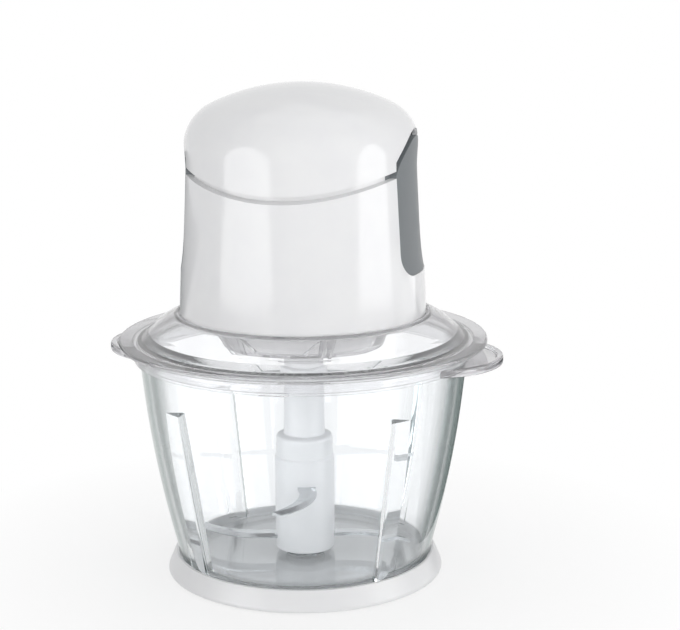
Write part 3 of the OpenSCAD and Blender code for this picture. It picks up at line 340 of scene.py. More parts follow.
NODE_FINISHES: dict[str, Finish] = {
    "foot_ring": BLACK_RUBBER, "bowl_pin": TURNED_STEEL, "lower_blade": BLADE_STEEL,
    "upper_blade": BLADE_STEEL, "lid_seal": PALE_SILICONE, "bottom_cover": BOSS_ABS_PAINTED_LIGHT,
    "cap_spring_left": TURNED_STEEL, "cap_spring_right": TURNED_STEEL,
    "switch_deck": BASE_ABS, "switch_body": BLACK_PBT, "switch_plunger": RED_PBT,
    "lower_bracket": BLACK_PBT, "upper_bracket": BLACK_PBT, "lower_bush": BUSH_BRONZE,
    "upper_bush": BUSH_BRONZE, "stator_core": LAMINATION, "field_coil_front": COPPER_WIRE,
    "field_coil_rear": COPPER_WIRE, "rotor_shaft": TURNED_STEEL, "rotor_core": LAMINATION,
    "rotor_windings": COPPER_WIRE, "commutator": COPPER_WIRE, "cooling_fan": BLACK_PBT,
    "sun_pinion": BUSH_BRONZE, "brush_holder_front": BUSH_BRONZE, "brush_holder_rear": BUSH_BRONZE,
    "brush_front": CARBON, "brush_rear": CARBON, "ring_gear": GEAR_POM, "planet_carrier": TURNED_STEEL,
    "planet_pins": TURNED_STEEL, "planet_gear_1": GEAR_POM, "planet_gear_2": GEAR_POM,
    "planet_gear_3": GEAR_POM, "output_shaft": TURNED_STEEL, "drive_coupling": BLACK_PBT,
    "output_bush": BUSH_BRONZE, "shaft_seal": BLACK_RUBBER, "housing_screws": TURNED_STEEL,
    "motor_screws": TURNED_STEEL, "cord_gland": GRIP_TPE,
}


def arc(centre: tuple[float, float], radius: float, start: float, end: float, steps: int) -> Outline:
    """Points along an arc.

    Args:
        centre: The arc's centre.
        radius: Its radius.
        start: First angle in degrees.
        end: Last angle in degrees.
        steps: Number of steps between them.

    Returns:
        The points in order.
    """
    turns = [math.radians(start + (end - start) * i / steps) for i in range(steps + 1)]
    return [(centre[0] + radius * math.cos(a), centre[1] + radius * math.sin(a)) for a in turns]


def softened(corners: Sequence[tuple[float, float, float]], steps: int = 4) -> Outline:
    """Rounds the corners of a closed outline.

    Args:
        corners: Points as x, y and the radius of the round there; a radius of zero stays sharp.
        steps: Points along each round.

    Returns:
        The outline with its corners rounded.
    """
    out: Outline = []
    for i, (x, y, radius) in enumerate(corners):
        here = Vector((x, y))
        before = Vector(corners[i - 1][:2]) - here
        after = Vector(corners[(i + 1) % len(corners)][:2]) - here
        turn = before.angle(after) if before.length and after.length else math.pi
        if radius <= 0 or turn > math.radians(176):
            out.append((x, y))
            continue
        reach = min(radius / math.tan(turn / 2), before.length * 0.48, after.length * 0.48)
        first, last = here + before.normalized() * reach, here + after.normalized() * reach
        for k in range(steps + 1):
            t = k / steps
            out.append(tuple(first * (1 - t) ** 2 + here * 2 * t * (1 - t) + last * t ** 2))
    return out


def curve(first: Vector, middle: Vector, last: Vector, steps: int) -> Outline:
    """Points along a quadratic curve.

    Args:
        first: Where the curve starts.
        middle: The point that pulls it.
        last: Where it ends.
        steps: Number of steps.

    Returns:
        The points in order.
    """
    ts = [i / steps for i in range(steps + 1)]
    return [tuple(first * (1 - t) ** 2 + middle * 2 * t * (1 - t) + last * t ** 2) for t in ts]


def to_object(name: str, bm: bmesh.types.BMesh) -> bpy.types.Object:
    """Closes a bmesh in millimetres and makes it an object in metres.

    Args:
        name: The object's name.
        bm: The mesh, which is freed.

    Returns:
        The new object, linked to the scene.
    """
    bmesh.ops.remove_doubles(bm, verts=bm.verts, dist=1e-4)
    bmesh.ops.recalc_face_normals(bm, faces=bm.faces)
    bmesh.ops.scale(bm, vec=(MM, MM, MM), verts=bm.verts)
    mesh = bpy.data.meshes.new(name)
    bm.to_mesh(mesh)
    bm.free()
    piece = bpy.data.objects.new(name, mesh)
    bpy.context.scene.collection.objects.link(piece)
    return piece


def spun(name: str, outline: Outline, steps: int = 192, shift_x: float = 0.0) -> bpy.types.Object:
    """Spins a closed outline of radius and height about an upright axis.

    Args:
        name: The object's name.
        outline: Radius and height of each point, in millimetres.
        steps: Steps in the full turn.
        shift_x: Where the axis stands along X.

    Returns:
        The solid of revolution.
    """
    bm = bmesh.new()
    ring = [bm.verts.new((max(r, 0.0), 0.0, z)) for r, z in outline]
    edges = [bm.edges.new((ring[i - 1], ring[i])) for i in range(len(ring))
             if not (outline[i - 1][0] <= 1e-6 and outline[i][0] <= 1e-6)]
    bmesh.ops.spin(bm, geom=ring + edges, cent=(0, 0, 0), axis=(0, 0, 1), dvec=(0, 0, 0),
                   angle=2 * math.pi, steps=steps, use_merge=True, use_duplicate=False)
    bmesh.ops.translate(bm, vec=(shift_x, 0, 0), verts=bm.verts)
    return to_object(name, bm)


def prism(name: str, outline: Outline, low: float, high: float, turn: Matrix) -> bpy.types.Object:
    """Extrudes a flat outline and turns it into place.

    Args:
        name: The object's name.
        outline: The outline's points, in millimetres.
        low: Where the extrusion starts along the outline's normal.
        high: Where it ends.
        turn: The matrix that places it, in millimetres.

    Returns:
        The solid.
    """
    bm = bmesh.new()
    face = bm.faces.new([bm.verts.new((x, y, low)) for x, y in outline])
    made = bmesh.ops.extrude_face_region(bm, geom=[face])
    top = [v for v in made["geom"] if isinstance(v, bmesh.types.BMVert)]
    bmesh.ops.translate(bm, vec=(0, 0, high - low), verts=top)
    bmesh.ops.transform(bm, matrix=turn, verts=bm.verts)
    return to_object(name, bm)


def drum(name: str, radius: float, centre_z: float, length: float) -> bpy.types.Object:
    """Makes a smooth drum that lies along X.

    Args:
        name: The object's name.
        radius: The drum's radius in millimetres.
        centre_z: Height of its axis.
        length: Its length.

    Returns:
        The solid.
    """
    bm = bmesh.new()
    bmesh.ops.create_cone(bm, cap_ends=True, segments=512, radius1=radius, radius2=radius, depth=length)
    bmesh.ops.rotate(bm, cent=(0, 0, 0), matrix=Matrix.Rotation(math.pi / 2, 3, "Y"), verts=bm.verts)
    bmesh.ops.translate(bm, vec=(0, 0, centre_z), verts=bm.verts)
    return to_object(name, bm)


def turned(piece: bpy.types.Object, degrees: float) -> None:
    """Turns a piece's mesh about the chopper's upright axis.

    Args:
        piece: The piece to turn.
        degrees: By how much.
    """
    piece.data.transform(Matrix.Rotation(math.radians(degrees), 4, "Z"))


ALONG_X = Matrix(((0, 0, 1, 0), (1, 0, 0, 0), (0, 1, 0, 0), (0, 0, 0, 1)))


def combine(piece: bpy.types.Object, how: Cut, *tools: bpy.types.Object) -> None:
    """Combines a piece with other solids and removes those.

    Args:
        piece: The solid that is changed.
        how: What is done with the others.
        *tools: The other solids.
    """
    for tool in tools:
        step = piece.modifiers.new("combine", "BOOLEAN")
        step.operation, step.solver, step.object = how.value, "EXACT", tool
        bpy.context.view_layer.update()
        done = piece.evaluated_get(bpy.context.evaluated_depsgraph_get())
        mesh = bpy.data.meshes.new_from_object(done)
        piece.modifiers.clear()
        old, piece.data = piece.data, mesh
        bpy.data.meshes.remove(old)
        bpy.data.objects.remove(tool)
    piece.data.name = piece.name


def complete(piece: bpy.types.Object, body: Body, slot: str, finish: Finish, *nodes: str,
             sharp: float = 32.0, edge_mm: float = 0.0) -> bpy.types.Object:
    """Smooths a piece, gives it its finish and ties it to the frame.

    Args:
        piece: The finished solid.
        body: The body that it rides on.
        slot: The record's material slot; not used.
        finish: The finish to build.
        *nodes: The CAD nodes that it stands for.
        sharp: Edges steeper than this angle stay crisp.
        edge_mm: Width of a small round on those edges, or zero.

    Returns:
        The same piece.
    """
    piece.data.shade_smooth()
    piece.data.set_sharp_from_angle(angle=math.radians(sharp))
    if edge_mm:
        round_off = piece.modifiers.new("edge_round", "BEVEL")
        round_off.width, round_off.segments, round_off.limit_method = edge_mm * MM, 2, "ANGLE"
        round_off.angle_limit, round_off.harden_normals = math.radians(sharp), True
    piece.data.materials.clear()
    piece.data.materials.append(finish_of(finish))
    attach(piece, body.value)
    if nodes:
        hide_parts(*nodes)
    LOG.info("piece %s rides on %s", piece.name, body.value)
    return piece


BUILT: dict[str, bpy.types.Material] = {}


def finish_of(finish: Finish) -> bpy.types.Material:
    """Builds a finish once and hands it out again afterwards.

    Args:
        finish: The finish that a piece asks for.

    Returns:
        Its material.
    """
    if finish.name not in BUILT:
        BUILT[finish.name] = finish.build()
    return BUILT[finish.name]


@dataclass
class Base:
    """White flared dish that the bowl stands in."""

    bottom_r: float = 64.0
    rim_r: float = 60.4
    rim_h: float = 10.0
    rim_wall: float = 1.4
    floor_z: float = 2.9
    foot_z: float = 0.8
    flare_in: float = 0.2
    flare_z: float = 2.2
    groove: tuple[float, float, float] = (46.5, 53.5, 2.0)

    def build(self) -> None:
        """Spins the dish with its foot groove and rounds its edges."""
        pocket = self.rim_r - self.rim_wall
        near, wide, deep = self.groove
        outline = softened([
            (0, self.foot_z, 0), (near, self.foot_z, 0.2), (near, deep, 0), (wide, deep, 0),
            (wide, self.foot_z, 0.2), (self.bottom_r, self.foot_z, 1.2),
            (self.bottom_r - self.flare_in, self.flare_z, 0.8), (self.rim_r, self.rim_h, 0.6),
            (pocket, self.rim_h, 0.4), (pocket, self.floor_z, 0.8), (0, self.floor_z, 0)])
        complete(spun("base_dish", outline), Body.BASE, "white_base", BASE_ABS, "base_ring")


@dataclass
class Bowl:
    """Thick pressed-glass bowl with four upright inner ribs."""

    low: tuple[float, float] = (58.01, 8.18)
    rim: tuple[float, float] = (75.0, 106.8)
    bottom_z: float = 3.0
    floor_z: float = 8.0
    wall: float = 3.6
    bulge: float = 2.5
    corner: float = 7.0
    lean: float = 15.03
    rib_top: float = 85.0
    rib_w: float = 11.5
    rib_d: float = 6.0
    rib_turn: float = 3.0
    rib_root: float = 2.0
    rib_nose: float = 0.8
    rib_span: tuple[float, float] = (-50.0, 60.0)
    rim_drop: float = 1.2
    fillet_at: float = 0.07
    wall_steps: int = 40
    boss_r: float = 9.0
    boss_h: float = 2.0
    boss_edge: float = 0.4
    pin_r: float = 3.0
    pin_z: float = 5.5

    def wall_at(self, t: float) -> Vector:
        """Finds a point on the outer wall, which bulges a little.

        Args:
            t: How far up the wall, from 0 at the foot to 1 at the rim.

        Returns:
            Its radius and height.
        """
        low, rim = Vector(self.low), Vector(self.rim)
        run = rim - low
        out = Vector((run.y, -run.x)).normalized()
        return low + run * t + out * 4 * self.bulge * t * (1 - t)

    def outline(self) -> Outline:
        """Works out the bowl's section from the axis round to the axis.

        Returns:
            Radius and height of each point.
        """
        lean = math.radians(self.lean)
        centre = (self.low[0] - self.corner * math.cos(lean), self.low[1] + self.corner * math.sin(lean))
        outside = arc(centre, self.corner, -90, -self.lean, 10)
        steps = self.wall_steps
        outside += [tuple(self.wall_at(i / steps)) for i in range(1, steps)]
        rim = arc((self.rim[0] - self.wall / 2, self.rim[1] - self.rim_drop), self.wall / 2, 10, 170, 10)
        rim = [(r, min(z, self.rim[1])) for r, z in rim]
        shift = Vector((self.wall, 0))
        lowest = math.ceil(self.fillet_at * steps)
        inside = [tuple(self.wall_at(i / steps) - shift) for i in range(steps - 1, lowest, -1)]
        high = self.wall_at(self.fillet_at) - shift
        fillet = curve(high, Vector((high.x - 1, self.floor_z)),
                       Vector((high.x - self.corner, self.floor_z)), 8)
        top, edge = self.floor_z + self.boss_h, self.boss_edge
        boss = [(self.boss_r + edge, self.floor_z), (self.boss_r, self.floor_z + edge),
                (self.boss_r, top - edge), (self.boss_r - edge, top), (self.pin_r, top),
                (self.pin_r, self.pin_z), (0, self.pin_z)]
        return [(0, self.bottom_z)] + outside + rim + inside + fillet + boss

    def rib(self, angle: float) -> bpy.types.Object:
        """Makes one rib of triangular section that leans with the wall.

        Args:
            angle: Its place round the bowl in degrees.

        Returns:
            The solid.
        """
        half = self.rib_w / 2
        middle = self.wall_at(0.5) - Vector((self.wall, 0))
        run = Vector(self.rim) - Vector(self.low)
        root, nose = self.rib_root, self.rib_nose
        section = softened([(root, -half, 0), (root, half, 0), (0, half, 0), (-self.rib_d, nose, 0.5),
                            (-self.rib_d, -nose, 0.5), (0, -half, 0)])
        turn = (Matrix.Rotation(math.radians(angle), 4, "Z") @ Matrix.Translation((middle.x, 0, middle.y))
                @ Matrix.Rotation(math.atan2(run.x, run.y), 4, "Y"))
        return prism("rib", section, *self.rib_span, turn)

    def build(self) -> None:
        """Spins the bowl, adds the ribs up to their height and dresses it in glass."""
        piece = spun("glass_bowl", self.outline(), 250)
        for i in range(4):
            rib = self.rib(45 + 90 * i + self.rib_turn)
            keep = spun("rib_height", [(0, self.floor_z - 0.5), (self.rim[0], self.floor_z - 0.5),
                                       (self.rim[0], self.rib_top), (0, self.rib_top)], 90)
            combine(rib, Cut.KEEP_COMMON, keep)
            combine(piece, Cut.ADD, rib)
        complete(piece, Body.BOWL, "clear_glass", BOWL_GLASS, "bowl", sharp=28)


@dataclass
class Spindle:
    """White tube on a stepped hub, which the blades are moulded into."""

    foot_r: float = 13.8
    step_h: float = 43.6
    hub_r: float = 13.1
    hub_h: float = 54.0
    hub_round: float = 3.4
    tube_low_r: float = 9.5
    tube_top_r: float = 8.8
    step_t: float = 0.8
    socket: tuple[float, float] = (6.65, 10.0)
    bore: tuple[float, float] = (3.05, 16.8)

    def build(self) -> None:
        """Spins the spindle and cuts the drive socket and the bore for the pin."""
        low, high = (corner[2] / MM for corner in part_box("blade_spindle"))
        step, top = low + self.step_h, low + self.hub_h
        piece = spun("spindle_moulding", softened([
            (0, low, 0), (self.foot_r, low, 1.0), (self.foot_r, step, 0.4),
            (self.hub_r, step + self.step_t, 0.4), (self.hub_r, top, self.hub_round),
            (self.tube_low_r, top + 0.5, 0.6), (self.tube_top_r, high, 0.8), (0, high, 0)], 6))
        hex_r, deep = self.socket
        bore_r, bore_h = self.bore
        combine(piece, Cut.TAKE_AWAY,
                prism("socket", arc((0, 0), hex_r, 0, 300, 5), high - deep, high + PAST, Matrix.Identity(4)),
                spun("bore", [(0, low - PAST), (bore_r, low - PAST), (bore_r, low + bore_h),
                              (0, low + bore_h)]))
        complete(piece, Body.BLADE, "white_spindle", SPINDLE_PP, "blade_spindle")


@dataclass
class Lid:
    """Clear lid with a broad rim, two ears, a bevelled shoulder and a centre well."""

    rim: tuple[float, float, float] = (84.0, 108.4, 111.0)
    skirt: tuple[float, float, float] = (75.6, 77.4, 101.8)
    plug: tuple[float, float] = (69.0, 70.8)
    seat_z: float = 108.0
    step: tuple[float, float] = (73.6, 71.4)
    step_top: float = 113.6
    crease: tuple[float, float] = (68.5, 116.0)
    bulge: float = 0.6
    house_z: float = 122.2
    lip_r: float = 56.8
    lip_h: float = 0.6
    wall: float = 1.8
    well: tuple[float, float, float] = (34.8, 40.2, 109.7)
    collar: tuple[float, float] = (10.1, 100.7)
    ear_reach: float = 92.0
    ear_r: float = 34.0
    ear_t: float = 3.4
    ear_rim: tuple[float, float] = (2.6, 3.4)
    ear_dish: float = 1.2
    ear_edge: float = 0.7
    turn: float = -4.5
    web_swing: float = 30.0
    web_apart: float = 1.8
    web_t: float = 1.2
    brace_swing: float = 13.0
    brace_r: float = 0.9
    lug_turn: float = 277.0
    lug_w: float = 12.7
    lug_h: float = 1.4
    lug_proud: float = 0.9
    inner_shift: tuple[float, float] = (0.5, 0.86)

    def shoulder(self) -> Outline:
        """Works out the outer face of the shoulder, which bulges a little.

        Returns:
            Radius and height of each point, from the crease up to the lip.
        """
        low, high = Vector(self.crease), Vector((self.lip_r + self.wall, self.house_z - 0.4))
        out = Vector((high.y - low.y, low.x - high.x)).normalized()
        return curve(low, (low + high) / 2 + out * 2 * self.bulge, high, 16)

    def outline(self) -> Outline:
        """Works out the lid's section.

        Returns:
            Radius and height of each point of the closed section.
        """
        near, far, low = self.skirt
        rim_r, rim_z, top = self.rim
        foot, head, floor = self.well
        over = self.shoulder()
        across, down = self.inner_shift
        under = [(r - self.wall * across, z - self.wall * down) for r, z in over]
        rim = softened([(near, low, 0.4), (far, low, 0.6), (far, rim_z, 0.5), (rim_r - 0.4, rim_z, 1.0),
                        (rim_r, (rim_z + top) / 2, 0.8), (rim_r - 0.4, top, 1.0), (self.step[0], top, 0.3),
                        (self.step[1], self.step_top, 0.35), (over[0][0], over[0][1], 0.35),
                        (over[1][0], over[1][1], 0)])
        lip = softened([(over[-1][0], over[-1][1], 0), (self.lip_r + 1.2, self.house_z + self.lip_h, 0.4),
                        (self.lip_r, self.house_z + self.lip_h, 0.3), (self.lip_r, self.house_z, 0.3),
                        (head + 0.8, self.house_z, 1.0), (foot, floor, 0.6), (self.collar[0], floor, 0.4),
                        (self.collar[0], self.collar[1], 0.3),
                        (self.collar[0] + self.wall, self.collar[1], 0.3),
                        (self.collar[0] + self.wall, floor - self.wall, 0.8),
                        (foot + self.wall, floor - self.wall, 1.0),
                        (head + self.wall - 0.7, self.house_z - self.wall, 1.0),
                        (under[-1][0] - 0.6, self.house_z - self.wall, 0.0)])
        plug = softened([(under[1][0], under[1][1], 0), (under[0][0], under[0][1], 0.4),
                         (self.step[1] - self.wall, self.step_top - 0.6, 0.4), (self.plug[0], top - 1.6, 0.4),
                         (self.plug[0], low, 0.3), (self.plug[1], low, 0.3), (self.plug[1], self.seat_z, 0.4),
                         (near, self.seat_z, 0.4), (near, low, 0)])[:-1]
        return rim[:-1] + over[1:] + lip[1:] + under[-2:1:-1] + plug

    def ear(self, side: Side) -> bpy.types.Object:
        """Makes one rounded ear with a dished top.

        Args:
            side: Which side it stands on.

        Returns:
            The solid.
        """
        centre = (self.ear_reach - self.ear_r) * side.value
        low = self.skirt[2] + 0.2
        top, edge = low + self.ear_t, self.ear_edge
        crest, hollow = (self.ear_r - inset for inset in self.ear_rim)
        tab = spun("ear", softened([(0, low, 0), (self.ear_r, low, edge), (self.ear_r, top, edge),
                                    (crest, top, edge), (hollow, top - self.ear_dish, edge),
                                    (0, top - self.ear_dish, 0)]), 160, centre)
        inside = (self.skirt[0] + self.skirt[1]) / 2
        combine(tab, Cut.TAKE_AWAY, spun("ear_cut", [(0, low - PAST), (inside, low - PAST),
                                                     (inside, top + PAST), (0, top + PAST)], 256))
        turned(tab, self.turn)
        return tab

    def lug(self) -> bpy.types.Object:
        """Makes the short lug on the skirt's lower edge.

        Returns:
            The solid.
        """
        low, top = self.skirt[2] + 0.1, self.skirt[2] + 0.1 + self.lug_h
        near, far = self.skirt[1] - self.lug_proud, self.skirt[1] + self.lug_proud
        ring = spun("lug", softened([(near, low, 0), (far, low, 0.3), (far, top, 0.3), (near, top, 0)]), 256)
        half = self.lug_w / 2
        width = [(near - PAST, -half), (far + PAST, -half), (far + PAST, half), (near - PAST, half)]
        block = prism("lug_width", width, low - PAST, top + PAST,
                      Matrix.Rotation(math.radians(self.lug_turn), 4, "Z"))
        combine(ring, Cut.KEEP_COMMON, block)
        turned(ring, self.turn)
        return ring

    def web(self, angle: float, beside: float) -> bpy.types.Object:
        """Makes one thin web with a slanted edge between the well and the seat above.

        Args:
            angle: Its place round the lid in degrees.
            beside: How far it stands beside that line.

        Returns:
            The solid.
        """
        low, high = self.well[2] - self.wall + 0.1, self.house_z - self.wall + 0.5
        near = self.well[0] + self.wall - 0.8
        section = [(near, low), (near + 5, low), (self.lip_r - 4.6, high), (self.well[1] + 0.4, high)]
        upright = Matrix.Rotation(math.pi / 2, 4, "X")
        turn = (Matrix.Rotation(math.radians(angle), 4, "Z") @ Matrix.Translation((0, beside, 0)) @ upright)
        return prism("web", section, -self.web_t / 2, self.web_t / 2, turn)

    def brace(self, angle: float, swing: float) -> bpy.types.Object:
        """Makes one slanted bar on the well's wall, from the top of a web down towards its pair.

        Args:
            angle: The web's place round the lid in degrees.
            swing: How far round the bar's foot stands from its head.

        Returns:
            The solid.
        """
        turn = math.radians(swing)
        low = self.well[0] + self.wall + 1.4
        head = Vector((self.well[1] + 0.6, 0, self.house_z - 4))
        foot = Vector((low * math.cos(turn), low * math.sin(turn), self.well[2] + 0.7))
        run = head - foot
        bm = bmesh.new()
        bmesh.ops.create_cone(bm, cap_ends=True, segments=24, radius1=self.brace_r, radius2=self.brace_r,
                              depth=run.length)
        aim = run.to_track_quat("Z", "Y").to_matrix().to_4x4()
        bmesh.ops.transform(bm, matrix=Matrix.Rotation(math.radians(angle), 4, "Z")
                            @ Matrix.Translation((head + foot) / 2) @ aim, verts=bm.verts)
        return to_object("brace", bm)

    def build(self) -> None:
        """Spins the lid, adds ears, lug, webs and braces and dresses it in clear plastic."""
        piece = spun("clear_lid", self.outline(), 256)
        combine(piece, Cut.ADD, *(self.ear(side) for side in Side), self.lug())
        for middle in (90.0, 270.0):
            for side in Side:
                angle = self.turn + middle + side.value * self.web_swing
                combine(piece, Cut.ADD, self.web(angle, -self.web_apart), self.web(angle, self.web_apart),
                        self.brace(angle, -side.value * self.brace_swing))
        complete(piece, Body.LID, "clear_lid", LID_SAN, "lid", sharp=30)


@dataclass
class MotorUnit:
    """White housing with its dipped seam, the domed press cap and the grey side grips."""

    foot: tuple[float, float] = (56.2, 122.2)
    seam: tuple[float, float] = (52.9, 189.0)
    wall: float = 2.4
    seam_dip: float = 10.4
    seam_gap: float = 3.0
    neck_r: float = 50.3
    neck_z: tuple[float, float] = (168.0, 199.0)
    neck_wall: float = 1.8
    neck_rise: float = 6.0
    cap_wall: float = 2.2
    bend: tuple[float, float] = (30.9, 196.8)
    bend_r: float = 22.0
    crown_r: float = 95.0
    grip_half: float = 24.8
    grip_z: float = 142.6
    grip_corner: float = 10.8
    arch: tuple[float, float] = (175.0, 31.0)
    arch_gap: float = 3.2
    grip_depth: float = 1.3
    pad_flat_r: float = 68.0
    cut_span: tuple[float, float] = (38.0, 90.0)
    back_over: float = 2.4
    back_top: float = 216.0
    back_drop: float = 2.7
    back_wall: float = 1.8
    back_gap: float = 0.3

    @property
    def crown_z(self) -> float:
        """Height of the crown arc's centre."""
        return self.bend[1] - math.sqrt((self.crown_r - self.bend_r) ** 2 - self.bend[0] ** 2)

    def below_seam(self, up: float) -> bpy.types.Object:
        """A drum along X whose top is the dipped seam, raised by a height."""
        radius = (self.seam[0] ** 2 + self.seam_dip ** 2) / (2 * self.seam_dip)
        return drum("seam_drum", radius, self.seam[1] - radius + up, 4 * self.seam[0])

    def house_r(self, z: float) -> float:
        """The housing's radius at a height."""
        up = (z - self.foot[1]) / (self.seam[1] - self.foot[1])
        return self.foot[0] + (self.seam[0] - self.foot[0]) * up

    def cap_outline(self, inset: float, low: float) -> Outline:
        """Half section of the cap, set in from its outer face.

        Args:
            inset: Distance from the outer face.
            low: Height of the open edge.

        Returns:
            Points from the open edge up to the crown.
        """
        tangent = math.degrees(math.atan2(self.bend[1] - self.crown_z, self.bend[0]))
        side = [(self.seam[0] - inset, low + (self.bend[1] - low) * i / 6) for i in range(6)]
        return (side + arc(self.bend, self.bend_r - inset, 0, tangent, 24)
                + arc((0, self.crown_z), self.crown_r - inset, tangent, 90, 20)[1:])

    def grip_outline(self, inset: float, arch_inset: float) -> Outline:
        """Outline of a grip across Y and Z: an arch on top, rounded corners below.

        Args:
            inset: Distance in from the sides and the foot.
            arch_inset: Distance in from the arch.

        Returns:
            The closed outline.
        """
        half, low, corner = self.grip_half - inset, self.grip_z + inset, self.grip_corner - inset
        centre, radius = self.arch[0], self.arch[1] - arch_inset
        begin = math.degrees(math.acos(half / radius))
        return (arc((0, centre), radius, begin, 180 - begin, 40)
                + arc((corner - half, low + corner), corner, 180, 270, 14)
                + arc((half - corner, low + corner), corner, 270, 360, 14))

    def grip_cut(self, side: Side, inset: float, arch_inset: float) -> bpy.types.Object:
        """A prism of the grip's outline through one side."""
        ends = sorted(x * side.value for x in self.cut_span)
        return prism("grip_cut", self.grip_outline(inset, arch_inset), *ends, ALONG_X)

    def build_housing(self) -> None:
        """Makes the tapered wall, open at the grips, and the neck inside the seam."""
        r, z = self.foot
        high = self.seam[1] + 4
        wall = spun("motor_housing", softened([
            (r - self.wall, z, 0.3), (r, z, 1.4), (self.house_r(high), high, 0),
            (self.house_r(high) - self.wall - 0.4, high, 0)]), 256)
        combine(wall, Cut.KEEP_COMMON, self.below_seam(0))
        combine(wall, Cut.TAKE_AWAY, *(self.grip_cut(side, 0, 0) for side in Side))
        complete(wall, Body.MOTOR, "white_abs", WHITE_ABS, "housing", edge_mm=0.35)
        inner, (low, top) = self.neck_r - self.neck_wall, self.neck_z
        neck = spun("housing_neck", [(inner, low), (self.neck_r, low), (self.neck_r, top), (inner, top)], 256)
        combine(neck, Cut.KEEP_COMMON, self.below_seam(self.neck_rise))
        combine(neck, Cut.TAKE_AWAY, *(self.grip_cut(side, -2.6, -2.6) for side in Side))
        complete(neck, Body.MOTOR, "white_abs", WHITE_ABS)

    def build_cap(self) -> None:
        """Makes the dome, cut by the seam and by the grips' arches."""
        low = self.seam[1] - self.seam_dip
        inside = self.cap_outline(self.cap_wall, low)
        cap = spun("press_dome", self.cap_outline(0, low) + inside[::-1], 256)
        combine(cap, Cut.TAKE_AWAY, self.below_seam(self.seam_gap),
                *(self.grip_cut(side, 0, 0) for side in Side))
        complete(cap, Body.CAP, "white_abs", WHITE_ABS, "press_cap", edge_mm=0.35)

    def pad_x(self, z: float) -> float:
        """Finds how far out a grip's scooped face stands on its middle line.

        Args:
            z: The height.

        Returns:
            The distance from the axis.
        """
        low, high = self.grip_z, self.arch[0] + self.arch[1] - self.arch_gap
        z = min(max(z, low), high)
        rise = z - self.bend[1]
        shell = self.bend[0] + math.sqrt(self.bend_r ** 2 - rise ** 2) if rise > 0 else self.seam[0]
        shell = self.house_r(z) if z < self.seam[1] else shell
        off = abs(z - (low + high) / 2) / ((high - low) / 2 + 1)
        return shell - 0.3 - self.grip_depth * (1 - off ** 4)

    def build_grip(self, side: Side) -> None:
        """Makes one grip: a scooped pad on a backing that shows along the cap's arch.

        Args:
            side: Which side it sits on.
        """
        shift = self.pad_flat_r - self.seam[0]
        low, high = self.grip_z - 3, self.arch[0] + self.arch[1]
        face = [(self.pad_x(low + (high - low) * i / 60) + shift, low + (high - low) * i / 60)
                for i in range(61)]
        pad = self.grip_cut(side, 0.1, self.arch_gap)
        combine(pad, Cut.KEEP_COMMON,
                spun("pad_face", [(0, low)] + face + [(0, high)], 360, -shift * side.value))
        pad.name = pad.data.name = f"{side.name.lower()}_grip_pad"
        node = "left_grip" if side is Side.LEFT else "right_grip"
        complete(pad, Body.MOTOR, "grey_grip", GRIP_TPE, node, edge_mm=0.3)
        gap, over = self.back_gap, self.back_over
        behind = self.cap_outline(self.cap_wall + gap, self.grip_z - over)
        behind = [(min(r, self.house_r(z) - self.wall - gap), z - (self.back_drop if z > self.seam[1] else 0))
                  for r, z in behind if z < self.back_top]
        inner = [(r - self.back_wall, z - gap) for r, z in behind]
        back = spun("backing", behind + inner[::-1], 256)
        combine(back, Cut.KEEP_COMMON, self.grip_cut(side, -over, -over))
        back.name = back.data.name = f"{side.name.lower()}_grip_backing"
        complete(back, Body.MOTOR, "grey_grip", GRIP_TPE)

    def build(self) -> None:
        """Builds the housing, the cap and both grips."""
        self.build_housing()
        self.build_cap()
        for side in Side:
            self.build_grip(side)


@dataclass
class Works:
    """The inner pieces and the blades, which keep their CAD shapes and get their finishes."""

    finishes: dict[str, Finish] = field(default_factory=lambda: dict(NODE_FINISHES))

    def dress(self) -> None:
        """Gives every carried-over node its material."""
        for name, finish in self.finishes.items():
            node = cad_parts[name]
            node.data.materials.clear()
            node.data.materials.append(finish_of(finish))
            LOG.info("node %s gets %s", name, finish.name)


